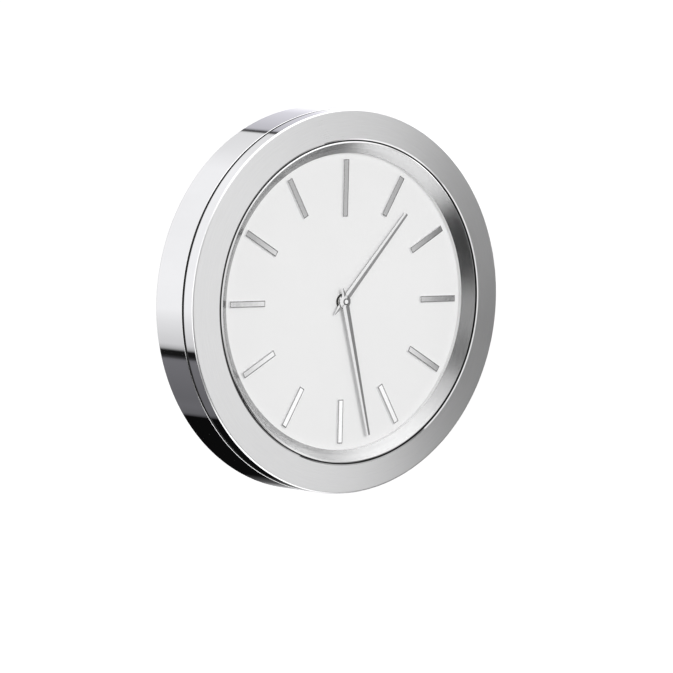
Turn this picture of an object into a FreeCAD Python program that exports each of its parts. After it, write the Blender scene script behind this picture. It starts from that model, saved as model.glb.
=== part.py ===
"""Ship's deck clock: a polished drum on a bayonet wall plate, with a quartz movement.

The origin is the centre of the bulkhead face. +Y points into the bulkhead, so the dial
faces -Y, and +Z is up. "Out" below is a distance from the bulkhead towards the reader,
which is -Y. All sizes are in millimetres.
"""
import FreeCAD, Part
import math
import os

import Sketcher

Vector = FreeCAD.Vector
OUT = Vector(0, -1, 0)

# Driving dimensions: alias, value.
DIMENSIONS = [
    # drum and front
    ("case_radius", 90.0),
    ("case_depth", 32.0),
    ("rim_gap", 0.6),
    ("seam_out", 20.8),
    ("seam_width", 1.3),
    ("seam_depth", 0.45),
    ("shell_wall", 2.5),
    ("rim_round", 0.8),
    ("spigot_radius", 86.9),
    ("spigot_wall", 1.9),
    ("spigot_length", 3.4),
    ("spigot_play", 0.1),
    ("spigot_lap", 1.5),
    ("spigot_root", 4.0),
    ("floor_out", 4.2),
    ("floor_thickness", 1.6),
    ("face_rise", 2.8),
    ("face_edge_round", 1.1),
    ("lip_radius", 75.95),
    ("lip_bevel", 0.65),
    ("lip_drop", 0.2),
    ("bezel_shoulder_out", 28.5),
    ("bezel_pocket_radius", 81.0),
    ("bezel_ledge_out", 25.0),
    # reflector ring, glass and dial
    ("mouth_radius", 74.6),
    ("mouth_flat", 0.15),
    ("mouth_drop", 0.3),
    ("ring_inset", 0.05),
    ("cone_foot", 1.95),
    ("ring_play", 0.4),
    ("dial_opening", 69.6),
    ("glass_inset", 0.3),
    ("glass_play", 0.05),
    ("glass_thickness", 1.9),
    ("dial_front", 26.0),
    ("dial_thickness", 1.0),
    ("dial_radius", 80.0),
    ("seal_wire", 0.6),
    ("seal_out", 30.3),
    ("seal_depth", 0.5),
    ("seal_play", 0.05),
    # dial furniture
    ("marker_outer", 66.6),
    ("marker_inner", 46.0),
    ("noon_inner", 39.8),
    ("marker_width", 3.0),
    ("marker_height", 1.0),
    ("marker_bevel", 0.4),
    # hands
    ("hub_radius", 3.1),
    ("hand_edge", 0.15),
    ("minute_reach", 65.0),
    ("minute_root_width", 3.9),
    ("minute_tip_width", 1.95),
    ("minute_ridge", 0.62),
    ("minute_tail", 6.6),
    ("minute_out", 28.25),
    ("minute_angle", 166.0),
    ("hour_reach", 54.2),
    ("hour_root_width", 3.4),
    ("hour_tip_width", 2.1),
    ("hour_ridge", 0.58),
    ("hour_tail", 8.2),
    ("hour_out", 27.25),
    ("hour_angle", 41.6),
    ("hub_thickness", 0.72),
    ("tail_tip_width", 0.6),
    ("cap_radius", 1.35),
    ("cap_height", 0.4),
    # dial clamp and movement fixing
    ("cut_over", 1.0),
    ("clamp_inner", 76.0),
    ("clamp_outer", 84.6),
    ("clamp_thickness", 1.5),
    ("clamp_screw_circle", 83.0),
    ("ear_reach", 33.0),
    ("ear_height", 18.0),
    ("ear_radius", 4.0),
    ("ear_thickness", 2.0),
    ("stud_radius", 3.0),
    ("stud_bore", 1.3),
    ("small_screw", 1.2),
    ("screw_play", 0.05),
    ("small_head", 2.2),
    ("small_head_height", 1.1),
    # wall plate and bayonet
    ("plate_radius", 60.0),
    ("plate_thickness", 2.0),
    ("screw_circle", 45.0),
    ("screw_hole", 2.25),
    ("screw_sink", 1.2),
    ("tongue_riser", 2.5),
    ("tongue_reach", 65.6),
    ("tongue_out", 2.9),
    ("tongue_thickness", 1.0),
    ("tongue_angle", 32.0),
    ("lug_inner", 62.4),
    ("lug_out", 1.3),
    ("lug_thickness", 1.2),
    ("bayonet_inner", 66.3),
    ("bayonet_outer", 75.0),
    ("bayonet_screw_circle", 70.6),
    # rear cover
    ("cover_opening", 40.5),
    ("cover_radius", 48.0),
    ("cover_out", 2.75),
    ("cover_thickness", 1.0),
    ("cover_screw_circle", 45.6),
    ("cover_seal_outer", 43.6),
    # movement housing
    ("movement_half", 28.0),
    ("movement_front", 23.4),
    ("movement_split", 15.0),
    ("movement_back", 8.2),
    ("movement_wall", 1.2),
    ("bay_wall", 0.5),
    ("bay_top", -11.4),
    ("bushing_radius", 3.4),
    ("bushing_bore", 2.56),
    ("bridge_out", 12.4),
    ("bridge_thickness", 1.0),
    ("pillar_radius", 1.6),
    ("pillar_place", 24.5),
    ("pillar_low", -7.5),
    ("pillar_high", 8.5),
    # shafts and wheels
    ("wheel_thickness", 0.8),
    ("thin_wheel", 0.7),
    ("hour_tube", 2.5),
    ("hour_bore", 1.56),
    ("arbor_radius", 1.5),
    ("arbor_tail", 0.8),
    ("motion_post", 0.8),
    ("knob_shaft", 1.0),
    ("knob_radius", 4.2),
    ("pin_radius", 0.6),
    ("pivot_radius", 0.4),
    ("pivot_play", 0.05),
    ("magnet_radius", 2.5),
    ("washer_radius", 3.2),
    ("washer_thickness", 0.25),
    # how far out each wheel's rear face lies
    ("hour_layer", 21.1),
    ("cannon_layer", 19.9),
    ("centre_layer", 18.6),
    ("washer_layer", 18.25),
    ("third_layer", 17.3),
    ("seconds_layer", 16.1),
    ("intermediate_layer", 14.6),
    ("rotor_layer", 14.4),
    ("pinion_lap", 0.7),
    ("pinion_start", 0.6),
    ("third_pinion", 1.6),
    ("seconds_pinion", 1.5),
    ("intermediate_pinion", 1.8),
    ("rotor_pinion", 1.1),
    ("shaft_step_out", 17.9),
    ("post_end_out", 19.6),
    ("knob_out", 6.4),
    ("knob_height", 1.5),
    ("stem_end_out", 21.4),
    ("magnet_out", 17.2),
    ("magnet_length", 2.4),
    # battery and motor
    ("battery_radius", 7.1),
    ("battery_length", 49.2),
    ("battery_nub", 1.3),
    ("battery_height", -19.2),
    ("battery_out", 15.6),
    ("coil_radius", 2.6),
    ("coil_height", 23.4),
    ("coil_out", 18.4),
    ("core_half", 0.5),
    ("core_width", 2.0),
    ("bobbin_left", 7.6),
    ("bobbin_right", 22.0),
    ("bobbin_flange", 0.8),
    ("barrel_radius", 1.7),
    ("stator_left", 5.2),
    ("stator_right", 24.4),
    ("stator_low", 12.4),
    ("stator_high", 20.2),
    ("stator_leg", 2.2),
    ("leg_top", 25.0),
    ("contact_thickness", 0.4),
    ("contact_half", 5.0),
    ("nub_radius", 2.7),
    ("spring_wire", 0.32),
    ("spring_core", 3.6),
    ("contact_play", 0.05),
    ("board_out", 11.4),
    ("board_thickness", 0.8),
    ("board_left", -25.0),
    ("board_right", -6.0),
    ("board_low", 6.0),
    ("board_high", 24.0),
    ("can_radius", 0.95),
    ("can_length", 6.5),
]

HOUR_NUMBERS = range(1, 13)
MINUTE_MODULE = 0.4
HOUR_MODULE = 0.384
TRAIN_MODULE = 0.3
MOTOR_MODULE = 0.25

# A tooth's height in modules, and its half-widths as shares of the tooth spacing.
ADDENDUM = 0.8
DEDENDUM = 1.2
ROOT_SHARE = 0.30
TIP_SHARE = 0.10

# The wheels' teeth, which give the joints' ratios.
CANNON_TEETH, MOTION_TEETH, KNOB_TEETH = 12, 36, 12
MOTION_PINION_TEETH, HOUR_TEETH = 10, 40
CENTRE_TEETH, THIRD_PINION_TEETH = 64, 8
THIRD_TEETH, SECONDS_PINION_TEETH = 60, 8
SECONDS_TEETH, INTERMEDIATE_PINION_TEETH = 60, 10
INTERMEDIATE_TEETH, ROTOR_PINION_TEETH = 40, 8

# The directions of the train's axes, each seen from the axis before it, in degrees
# from +X towards +Z.
MOTION_BEARING = 60.0
KNOB_BEARING = 0.0
THIRD_BEARING = 150.0
SECONDS_BEARING = 60.0
INTERMEDIATE_BEARING = 20.0
ROTOR_BEARING = -10.0

doc = FreeCAD.newDocument("DeckClock")
dims = doc.addObject("Spreadsheet::Sheet", "Dims")
for row, (alias, number) in enumerate(DIMENSIONS, start=1):
    dims.set(f"A{row}", alias)
    dims.set(f"B{row}", str(number))
    dims.setAlias(f"B{row}", alias)
doc.recompute()

nodes = []


def size(expression):
    """The value of an expression in the sheet's aliases."""
    return float(dims.evalExpression(named(expression)))


def named(expression):
    """The expression with each alias given its sheet, as FreeCAD wants it."""
    words = []
    word = ""
    for letter in str(expression) + " ":
        if letter.isalnum() or letter == "_":
            word += letter
            continue
        if word and word[0].isalpha():
            word = "Dims." + word
        words.append(word + letter)
        word = ""
    return "".join(words).strip()


def keep(piece, label):
    """Names a finished sub-part, which is then written to its own file."""
    piece.Label = label
    nodes.append(piece)
    return piece


# ---- sketches and solids ----------------------------------------------------------


def origin_plane(body, role):
    return next(item for item in body.Origin.OriginFeatures if item.Role == role)


def new_sketch(body, name, role, offset="0"):
    """A sketch on one of its body's origin planes, moved along the plane's normal."""
    sketch = body.newObject("Sketcher::SketchObject", name)
    sketch.AttachmentSupport = [(origin_plane(body, role), "")]
    sketch.MapMode = "FlatFace"
    sketch.setExpression("AttachmentOffset.Base.z", named(offset))
    return sketch


def pin_point(sketch, line, across, upward):
    """Binds the start of a line to its two coordinates."""
    for kind, expression, axis in (("DistanceX", across, -2), ("DistanceY", upward, -1)):
        value = size(expression)
        if abs(value) < 1e-9:
            sketch.addConstraint(Sketcher.Constraint("PointOnObject", line, 1, axis))
            continue
        index = sketch.addConstraint(Sketcher.Constraint(kind, -1, 1, line, 1, value))
        sketch.setExpression(f"Constraints[{index}]", named(expression))


def add_polygon(sketch, points):
    """A closed outline through points, each a pair of expressions."""
    corners = [Vector(size(across), size(upward), 0) for across, upward in points]
    first = sketch.GeometryCount
    for index, corner in enumerate(corners):
        following = corners[(index + 1) % len(corners)]
        sketch.addGeometry(Part.LineSegment(corner, following), False)
    for index, (across, upward) in enumerate(points):
        line = first + index
        following = first + (index + 1) % len(points)
        sketch.addConstraint(Sketcher.Constraint("Coincident", line, 2, following, 1))
        pin_point(sketch, line, across, upward)


def add_circle(sketch, radius, across="0", upward="0"):
    centre = Vector(size(across), size(upward), 0)
    circle = sketch.addGeometry(Part.Circle(centre, Vector(0, 0, 1), size(radius)), False)
    index = sketch.addConstraint(Sketcher.Constraint("Radius", circle, size(radius)))
    sketch.setExpression(f"Constraints[{index}]", named(radius))
    for kind, expression, axis in (("DistanceX", across, -2), ("DistanceY", upward, -1)):
        value = size(expression)
        if abs(value) < 1e-9:
            sketch.addConstraint(Sketcher.Constraint("PointOnObject", circle, 3, axis))
            continue
        index = sketch.addConstraint(Sketcher.Constraint(kind, -1, 1, circle, 3, value))
        sketch.setExpression(f"Constraints[{index}]", named(expression))


def rectangle(left, right, low, high):
    return [(left, low), (right, low), (right, high), (left, high)]


def new_body(name):
    return doc.addObject("PartDesign::Body", name)


def turn(body, name, outline, cut=False):
    """Turns an outline of (radius, out) pairs about the clock's axis, or cuts it."""
    sketch = new_sketch(body, name + "_outline", "XY_Plane")
    add_polygon(sketch, [(radius, f"-({out})") for radius, out in outline])
    kind = "PartDesign::Groove" if cut else "PartDesign::Revolution"
    feature = body.newObject(kind, name)
    feature.Profile = sketch
    feature.ReferenceAxis = (sketch, ["V_Axis"])
    feature.Angle = 360.0
    doc.recompute()
    return feature


def pad(body, name, start, length, polygons=(), circles=()):
    """Raises shapes from start, out from the bulkhead, by length."""
    sketch = new_sketch(body, name + "_sketch", "XZ_Plane", start)
    for polygon in polygons:
        add_polygon(sketch, polygon)
    for circle in circles:
        add_circle(sketch, *circle)
    feature = body.newObject("PartDesign::Pad", name)
    feature.Profile = sketch
    feature.setExpression("Length", named(length))
    doc.recompute()
    return feature


def pocket(body, name, start, length, polygons=(), circles=()):
    """Cuts shapes from start, out from the bulkhead, by length."""
    before = body.Shape.Volume
    sketch = new_sketch(body, name + "_sketch", "XZ_Plane", start)
    for polygon in polygons:
        add_polygon(sketch, polygon)
    for circle in circles:
        add_circle(sketch, *circle)
    feature = body.newObject("PartDesign::Pocket", name)
    feature.Profile = sketch
    feature.setExpression("Length", named(length))
    feature.Reversed = True
    doc.recompute()
    if body.Shape.Volume >= before:
        raise RuntimeError(f"{name} cuts nothing")
    return feature


def repeat(body, name, features, count):
    """Repeats features round the clock's axis."""
    pattern = body.newObject("PartDesign::PolarPattern", name)
    pattern.Originals = features
    axis = next(item for item in body.Origin.OriginFeatures if item.Role == "Y_Axis")
    pattern.Axis = (axis, [""])
    pattern.Angle = 360.0
    pattern.Occurrences = count
    body.Tip = pattern
    doc.recompute()
    return pattern


def round_edges(shape, radius, out):
    """The names of the circular edges of this radius about the axis at this distance."""
    found = []
    for index, edge in enumerate(shape.Edges, start=1):
        curve = edge.Curve
        if not isinstance(curve, Part.Circle):
            continue
        same_radius = abs(curve.Radius - radius) < 1e-4
        if same_radius and abs(curve.Center.y + out) < 1e-4:
            found.append(f"Edge{index}")
    if not found:
        raise RuntimeError(f"no edge of radius {radius} at {out}")
    return found


def dress(body, kind, name, edges, amount):
    """A fillet or chamfer on named edges of the body's last feature."""
    feature = body.newObject(f"PartDesign::{kind}", name)
    feature.Base = (body.Tip if body.Tip != feature else feature.BaseFeature, edges)
    feature.setExpression("Radius" if kind == "Fillet" else "Size", named(amount))
    body.Tip = feature
    doc.recompute()
    return feature


def post(name, radius, start, end, across="0", upward="0"):
    """A cylinder along the clock's axis direction, from start to end."""
    cylinder = doc.addObject("Part::Cylinder", name)
    cylinder.setExpression("Radius", named(radius))
    cylinder.setExpression("Height", named(f"({end}) - ({start})"))
    cylinder.Placement = FreeCAD.Placement(Vector(), FreeCAD.Rotation(Vector(1, 0, 0), 90))
    cylinder.setExpression("Placement.Base.x", named(across))
    cylinder.setExpression("Placement.Base.y", named(f"-({start})"))
    cylinder.setExpression("Placement.Base.z", named(upward))
    return cylinder


def crosswise(name, radius, start, end, out, upward):
    """A cylinder along X."""
    cylinder = doc.addObject("Part::Cylinder", name)
    cylinder.setExpression("Radius", named(radius))
    cylinder.setExpression("Height", named(f"({end}) - ({start})"))
    cylinder.Placement = FreeCAD.Placement(Vector(), FreeCAD.Rotation(Vector(0, 1, 0), 90))
    cylinder.setExpression("Placement.Base.x", named(start))
    cylinder.setExpression("Placement.Base.y", named(f"-({out})"))
    cylinder.setExpression("Placement.Base.z", named(upward))
    return cylinder


def block(name, left, right, low, high, start, end):
    """A box from left to right, low to high, and start to end out from the bulkhead."""
    box = doc.addObject("Part::Box", name)
    box.setExpression("Length", named(f"({right}) - ({left})"))
    box.setExpression("Width", named(f"({end}) - ({start})"))
    box.setExpression("Height", named(f"({high}) - ({low})"))
    box.setExpression("Placement.Base.x", named(left))
    box.setExpression("Placement.Base.y", named(f"-({end})"))
    box.setExpression("Placement.Base.z", named(low))
    return box


def fuse(name, pieces):
    joined = doc.addObject("Part::MultiFuse", name)
    joined.Shapes = pieces
    joined.Refine = True
    doc.recompute()
    return joined


def cut(name, base, tool):
    result = doc.addObject("Part::Cut", name)
    result.Base = base
    result.Tool = tool
    doc.recompute()
    return result


def group(name, pieces):
    """Separate solids that share one node."""
    together = doc.addObject("Part::Compound", name)
    together.Links = pieces
    doc.recompute()
    return together


def screws(label, shank_start, shank_end, head_start, head_end, radius, head, places):
    """One node of like screws, each a shank and a head on a common axis."""
    pieces = []
    for index, (across, upward) in enumerate(places, start=1):
        shank = post(f"{label}_shank_{index}", radius, shank_start, shank_end, across, upward)
        cap = post(f"{label}_head_{index}", head, head_start, head_end, across, upward)
        pieces.append(fuse(f"{label}_{index}", [shank, cap]))
    return keep(group(label, pieces), label)


def on_circle(radius, count, first_angle):
    """Places on a circle, as pairs of expressions, counted from 12 o'clock."""
    places = []
    for index in range(count):
        angle = math.radians(first_angle + 360.0 * index / count)
        places.append((f"{radius} * {math.sin(angle):.9f}", f"{radius} * {math.cos(angle):.9f}"))
    return places


# ---- toothed wheels ---------------------------------------------------------------


def mesh_distance(teeth_a, teeth_b, module):
    return (teeth_a + teeth_b) * module / 2


def moved(centre, distance, bearing):
    """A point at a distance and bearing from centre, as (x, z)."""
    angle = math.radians(bearing)
    return centre[0] + distance * math.cos(angle), centre[1] + distance * math.sin(angle)


def mating_phase(bearing, teeth, phase, mate_teeth):
    """The angle of a tooth of the second wheel, so that it fits a gap of the first."""
    lead = (phase - bearing) * teeth / mate_teeth
    return bearing + 180.0 - lead + 180.0 / mate_teeth


def toothed(name, teeth, module, centre, phase, start, thickness):
    """A toothed disc with slim straight-sided teeth, which leave running backlash."""
    rear = size(start)
    pitch_radius = teeth * module / 2
    root = pitch_radius - DEDENDUM * module
    tip = pitch_radius + ADDENDUM * module
    step = 2 * math.pi / teeth
    flanks = ((root, -ROOT_SHARE), (tip, -TIP_SHARE), (tip, TIP_SHARE), (root, ROOT_SHARE))
    corners = []
    for index in range(teeth):
        middle = math.radians(phase) + index * step
        for radius, share in flanks:
            angle = middle + share * step
            x = centre[0] + radius * math.cos(angle)
            z = centre[1] + radius * math.sin(angle)
            corners.append(Vector(x, -rear, z))
    corners.append(corners[0])
    disc = Part.Face(Part.makePolygon(corners)).extrude(OUT * size(thickness))
    feature = doc.addObject("Part::Feature", name)
    feature.Shape = disc
    return feature


# ---- case -------------------------------------------------------------------------


def make_case_body():
    """The drum: a cup with a floor, a front spigot for the bezel and a round opening."""
    body = new_body("case_body")
    turn(body, "drum", [
        ("cover_opening", "floor_out"),
        ("case_radius - shell_wall", "floor_out"),
        ("case_radius - shell_wall", "rim_gap"),
        ("case_radius", "rim_gap"),
        ("case_radius", "seam_out"),
        ("spigot_radius", "seam_out"),
        ("spigot_radius", "seam_out + spigot_length"),
        ("spigot_radius - spigot_wall", "seam_out + spigot_length"),
        ("spigot_radius - spigot_wall", "seam_out - spigot_lap"),
        ("case_radius - shell_wall", "seam_out - spigot_root"),
        ("case_radius - shell_wall", "floor_out + floor_thickness"),
        ("cover_opening", "floor_out + floor_thickness"),
    ])
    rim = round_edges(body.Shape, size("case_radius"), size("rim_gap"))
    dress(body, "Fillet", "rim_rounding", rim, "rim_round")
    hole = pocket(body, "cover_screw_hole", "floor_out - cut_over", "floor_thickness + 2 * cut_over",
                  circles=[("small_screw + screw_play", "0", "cover_screw_circle")])
    ring_hole = pocket(body, "bayonet_screw_hole", "floor_out - cut_over", "floor_thickness + 2 * cut_over",
                       circles=[("small_screw + screw_play", "0", "bayonet_screw_circle")])
    repeat(body, "screw_holes", [hole, ring_hole], 3)
    return keep(body, "case_body")


def make_seam_seal():
    body = new_body("seam_seal")
    turn(body, "seal", [
        ("spigot_radius + spigot_play", "seam_out"),
        ("case_radius - seam_depth", "seam_out"),
        ("case_radius - seam_depth", "seam_out + seam_width"),
        ("spigot_radius + spigot_play", "seam_out + seam_width"),
    ])
    return keep(body, "seam_seal")


def make_bezel():
    """The front ring. Its face is a shallow cone that rises towards the glass."""
    body = new_body("bezel")
    turn(body, "ring", [
        ("case_radius", "seam_out + seam_width"),
        ("case_radius", "case_depth - face_rise"),
        ("lip_radius + lip_bevel", "case_depth"),
        ("lip_radius", "case_depth - lip_drop"),
        ("lip_radius", "bezel_shoulder_out"),
        ("bezel_pocket_radius", "bezel_shoulder_out"),
        ("bezel_pocket_radius", "bezel_ledge_out"),
        ("spigot_radius + spigot_play", "bezel_ledge_out"),
        ("spigot_radius + spigot_play", "seam_out + seam_width"),
    ])
    outer = round_edges(body.Shape, size("case_radius"), size("case_depth - face_rise"))
    dress(body, "Fillet", "face_edge", outer, "face_edge_round")
    hole = pocket(body, "clamp_screw_hole", "bezel_ledge_out - 0.5", "2.8",
                  circles=[("small_screw + screw_play", "0", "clamp_screw_circle")])
    repeat(body, "clamp_screw_holes", [hole], 6)
    return keep(body, "bezel")


def make_reflector_ring():
    """The satin cone between the glass and the dial, with a flange behind the bezel."""
    body = new_body("reflector_ring")
    turn(body, "ring", [
        ("dial_opening", "dial_front"),
        ("bezel_pocket_radius - ring_play", "dial_front"),
        ("bezel_pocket_radius - ring_play", "bezel_shoulder_out"),
        ("lip_radius - ring_play", "bezel_shoulder_out"),
        ("lip_radius - ring_play", "case_depth - ring_inset - mouth_drop"),
        ("mouth_radius + mouth_flat", "case_depth - ring_inset"),
        ("mouth_radius", "case_depth - ring_inset"),
        ("dial_opening", "dial_front + cone_foot"),
    ])
    turn(body, "seal_groove", [
        ("lip_radius - ring_play - seal_depth", "seal_out - seal_wire"),
        ("lip_radius", "seal_out - seal_wire"),
        ("lip_radius", "seal_out + seal_wire"),
        ("lip_radius - ring_play - seal_depth", "seal_out + seal_wire"),
    ], cut=True)
    return keep(body, "reflector_ring")


def make_reflector_seal():
    """A flat band in the ring's groove, which keeps spray out beside the glass."""
    body = new_body("reflector_seal")
    turn(body, "band", [
        ("lip_radius - ring_play - seal_depth + seal_play", "seal_out - seal_wire + 2 * seal_play"),
        ("lip_radius - seal_play / 2", "seal_out - seal_wire + 2 * seal_play"),
        ("lip_radius - seal_play / 2", "seal_out + seal_wire - 2 * seal_play"),
        ("lip_radius - ring_play - seal_depth + seal_play", "seal_out + seal_wire - 2 * seal_play"),
    ])
    return keep(body, "reflector_seal")


def cone_radius(out):
    """The reflector cone's radius at a distance out from the bulkhead, in words."""
    slope = "(mouth_radius - dial_opening) / (case_depth - ring_inset - dial_front - cone_foot)"
    return f"dial_opening + (({out}) - dial_front - cone_foot) * {slope}"


def make_crystal():
    """The glass: a disc with a bevelled edge, bonded in the mouth of the cone."""
    front = "case_depth - ring_inset - glass_inset"
    back = f"{front} - glass_thickness"
    body = new_body("crystal")
    turn(body, "disc", [
        ("0", back),
        (cone_radius(back) + " - glass_play", back),
        (cone_radius(front) + " - glass_play", front),
        ("0", front),
    ])
    return keep(body, "crystal")


def make_dial():
    body = new_body("dial")
    turn(body, "disc", [
        ("bushing_radius + 0.1", "dial_front - dial_thickness"),
        ("dial_radius", "dial_front - dial_thickness"),
        ("dial_radius", "dial_front"),
        ("bushing_radius + 0.1", "dial_front"),
    ])
    return keep(body, "dial")


def make_hour_marker(number):
    """An applied baton with bevelled top edges. The one at 12 is longer."""
    body = new_body(f"hour_marker_{number:02d}")
    inner = "noon_inner" if number == 12 else "marker_inner"
    outline = rectangle("-marker_width / 2", "marker_width / 2", inner, "marker_outer")
    pad(body, f"baton_{number:02d}", "dial_front", "marker_height", polygons=[outline])
    top = -size("dial_front + marker_height")
    edges = []
    for index, edge in enumerate(body.Shape.Edges, start=1):
        if all(abs(vertex.Point.y - top) < 1e-6 for vertex in edge.Vertexes):
            edges.append(f"Edge{index}")
    dress(body, "Chamfer", f"bevel_{number:02d}", edges, "marker_bevel")
    body.Placement = FreeCAD.Placement(
        Vector(), FreeCAD.Rotation(Vector(0, 1, 0), 30.0 * number))
    return keep(body, f"hour_marker_{number:02d}")


def make_dial_clamp():
    """The ring behind the dial, and the screws that pull it to the bezel's ledge."""
    body = new_body("dial_clamp_ring")
    turn(body, "ring", [
        ("clamp_inner", "bezel_ledge_out - clamp_thickness"),
        ("clamp_outer", "bezel_ledge_out - clamp_thickness"),
        ("clamp_outer", "bezel_ledge_out"),
        ("clamp_inner", "bezel_ledge_out"),
    ])
    hole = pocket(body, "screw_hole", "bezel_ledge_out - clamp_thickness - cut_over",
                  "clamp_thickness + 2 * cut_over",
                  circles=[("small_screw + screw_play", "0", "clamp_screw_circle")])
    repeat(body, "screw_holes", [hole], 6)
    keep(body, "dial_clamp_ring")
    back = "bezel_ledge_out - clamp_thickness"
    screws("clamp_ring_screws", back, "bezel_ledge_out + 2", f"{back} - 0.8", back,
           "small_screw", "1.55", on_circle("clamp_screw_circle", 6, 0.0))


# ---- hands ------------------------------------------------------------------------


def roof(width, base, ridge):
    """A hand's section: a thin edge on each side and a ridge in the middle."""
    half = f"({width}) / 2"
    return [
        (f"-{half}", f"-({base})"),
        (half, f"-({base})"),
        (half, f"-({base} + hand_edge)"),
        ("0", f"-({base} + hand_edge + {ridge})"),
        (f"-{half}", f"-({base} + hand_edge)"),
    ]


def blade(body, name, base, near, far):
    """A ruled length of hand between two sections, each (distance, width, ridge)."""
    sections = []
    for tag, (distance, width, ridge) in (("near", near), ("far", far)):
        sketch = new_sketch(body, f"{name}_{tag}", "XY_Plane", distance)
        add_polygon(sketch, roof(width, base, ridge))
        sections.append(sketch)
    feature = body.newObject("PartDesign::AdditiveLoft", name)
    feature.Profile = sections[0]
    feature.Sections = sections[1:]
    feature.Ruled = True
    doc.recompute()
    return feature


def make_hand(kind, bore):
    """A ridged hand with a round hub and a pointed tail, made pointing at 12."""
    body = new_body(f"{kind}_hand")
    base = f"{kind}_out"
    ridge = f"({kind}_ridge - hand_edge)"
    root = ("0", f"{kind}_root_width", ridge)
    tip_width = f"{kind}_tip_width"
    tip_ridge = f"{ridge} * {tip_width} / {kind}_root_width"
    blade(body, f"{kind}_blade", base, root, (f"{kind}_reach", tip_width, tip_ridge))
    tail_ridge = f"{ridge} * tail_tip_width / {kind}_root_width"
    blade(body, f"{kind}_tail_blade", base, root,
          (f"-{kind}_tail", "tail_tip_width", tail_ridge))
    pad(body, f"{kind}_hub", base, "hub_thickness", circles=[("hub_radius",)])
    pocket(body, f"{kind}_bore", f"{base} - cut_over", "hub_thickness + 2 * cut_over", circles=[(bore,)])
    body.Placement = FreeCAD.Placement(
        Vector(), FreeCAD.Rotation(Vector(0, 1, 0), size(f"{kind}_angle")))
    return keep(body, f"{kind}_hand")


def make_hand_cap():
    body = new_body("hand_cap")
    start = "minute_out + hub_thickness"
    turn(body, "cap", [
        ("0", start),
        ("cap_radius", start),
        ("cap_radius", f"{start} + cap_height * 0.5"),
        ("cap_radius * 0.6", f"{start} + cap_height"),
        ("0", f"{start} + cap_height"),
    ])
    return keep(body, "hand_cap")


# ---- wall plate, bayonet and rear cover -------------------------------------------


def sector(inner, outer, spread, middle):
    """A ring sector as a polygon, its two arcs drawn with short straight steps."""
    steps = 8
    start = middle - spread / 2
    angles = [math.radians(start + spread * index / steps) for index in range(steps + 1)]
    points = []
    for radius, run in ((inner, angles), (outer, list(reversed(angles)))):
        for angle in run:
            points.append((f"({radius}) * {math.sin(angle):.9f}",
                           f"({radius}) * {math.cos(angle):.9f}"))
    return points


def make_mounting_plate():
    """A disc with three countersunk holes and three raised tongues at its edge."""
    body = new_body("mounting_plate")
    pad(body, "disc", "0", "plate_thickness", circles=[("plate_radius",)])
    spread = size("tongue_angle")
    riser = pad(body, "riser", "plate_thickness - 0.2",
                "tongue_out + tongue_thickness - plate_thickness + 0.2",
                polygons=[sector("plate_radius - tongue_riser", "plate_radius - 0.3", spread, 0.0)])
    tongue = pad(body, "tongue", "tongue_out", "tongue_thickness",
                 polygons=[sector("plate_radius - tongue_riser", "tongue_reach", spread, 0.0)])
    repeat(body, "tongues", [riser, tongue], 3)
    for index, (across, upward) in enumerate(on_circle("screw_circle", 3, 60.0), start=1):
        pocket(body, f"screw_hole_{index}", "-cut_over", "plate_thickness + 2 * cut_over",
               circles=[("screw_hole", across, upward)])
    sinks = []
    for index, edge in enumerate(body.Shape.Edges, start=1):
        curve = edge.Curve
        if isinstance(curve, Part.Circle) and abs(curve.Radius - size("screw_hole")) < 1e-6:
            if abs(curve.Center.y + size("plate_thickness")) < 1e-6:
                sinks.append(f"Edge{index}")
    dress(body, "Chamfer", "countersinks", sinks, "screw_sink")
    return keep(body, "mounting_plate")


def make_bayonet_ring():
    """The case's half of the bayonet: three lugs that hook behind the tongues."""
    body = new_body("bayonet_ring")
    turn(body, "ring", [
        ("bayonet_inner", "lug_out"),
        ("bayonet_outer", "lug_out"),
        ("bayonet_outer", "floor_out"),
        ("bayonet_inner", "floor_out"),
    ])
    spread = size("tongue_angle")
    lug = pad(body, "lug", "lug_out", "lug_thickness",
              polygons=[sector("lug_inner", "bayonet_inner + 0.5", spread, 0.0)])
    hole = pocket(body, "screw_hole", "lug_out - cut_over", "floor_out - lug_out + 2 * cut_over",
                  circles=[("small_screw + screw_play", "0", "bayonet_screw_circle")])
    sink = pocket(body, "screw_sink", "lug_out - cut_over", "small_head_height + 1.1",
                  circles=[("small_head + 0.1", "0", "bayonet_screw_circle")])
    repeat(body, "lugs", [lug, hole, sink], 3)
    keep(body, "bayonet_ring")
    screws("bayonet_ring_screws", "lug_out + 0.1", "floor_out + floor_thickness",
           "lug_out", "lug_out + small_head_height", "small_screw", "small_head",
           on_circle("bayonet_screw_circle", 3, 0.0))


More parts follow.
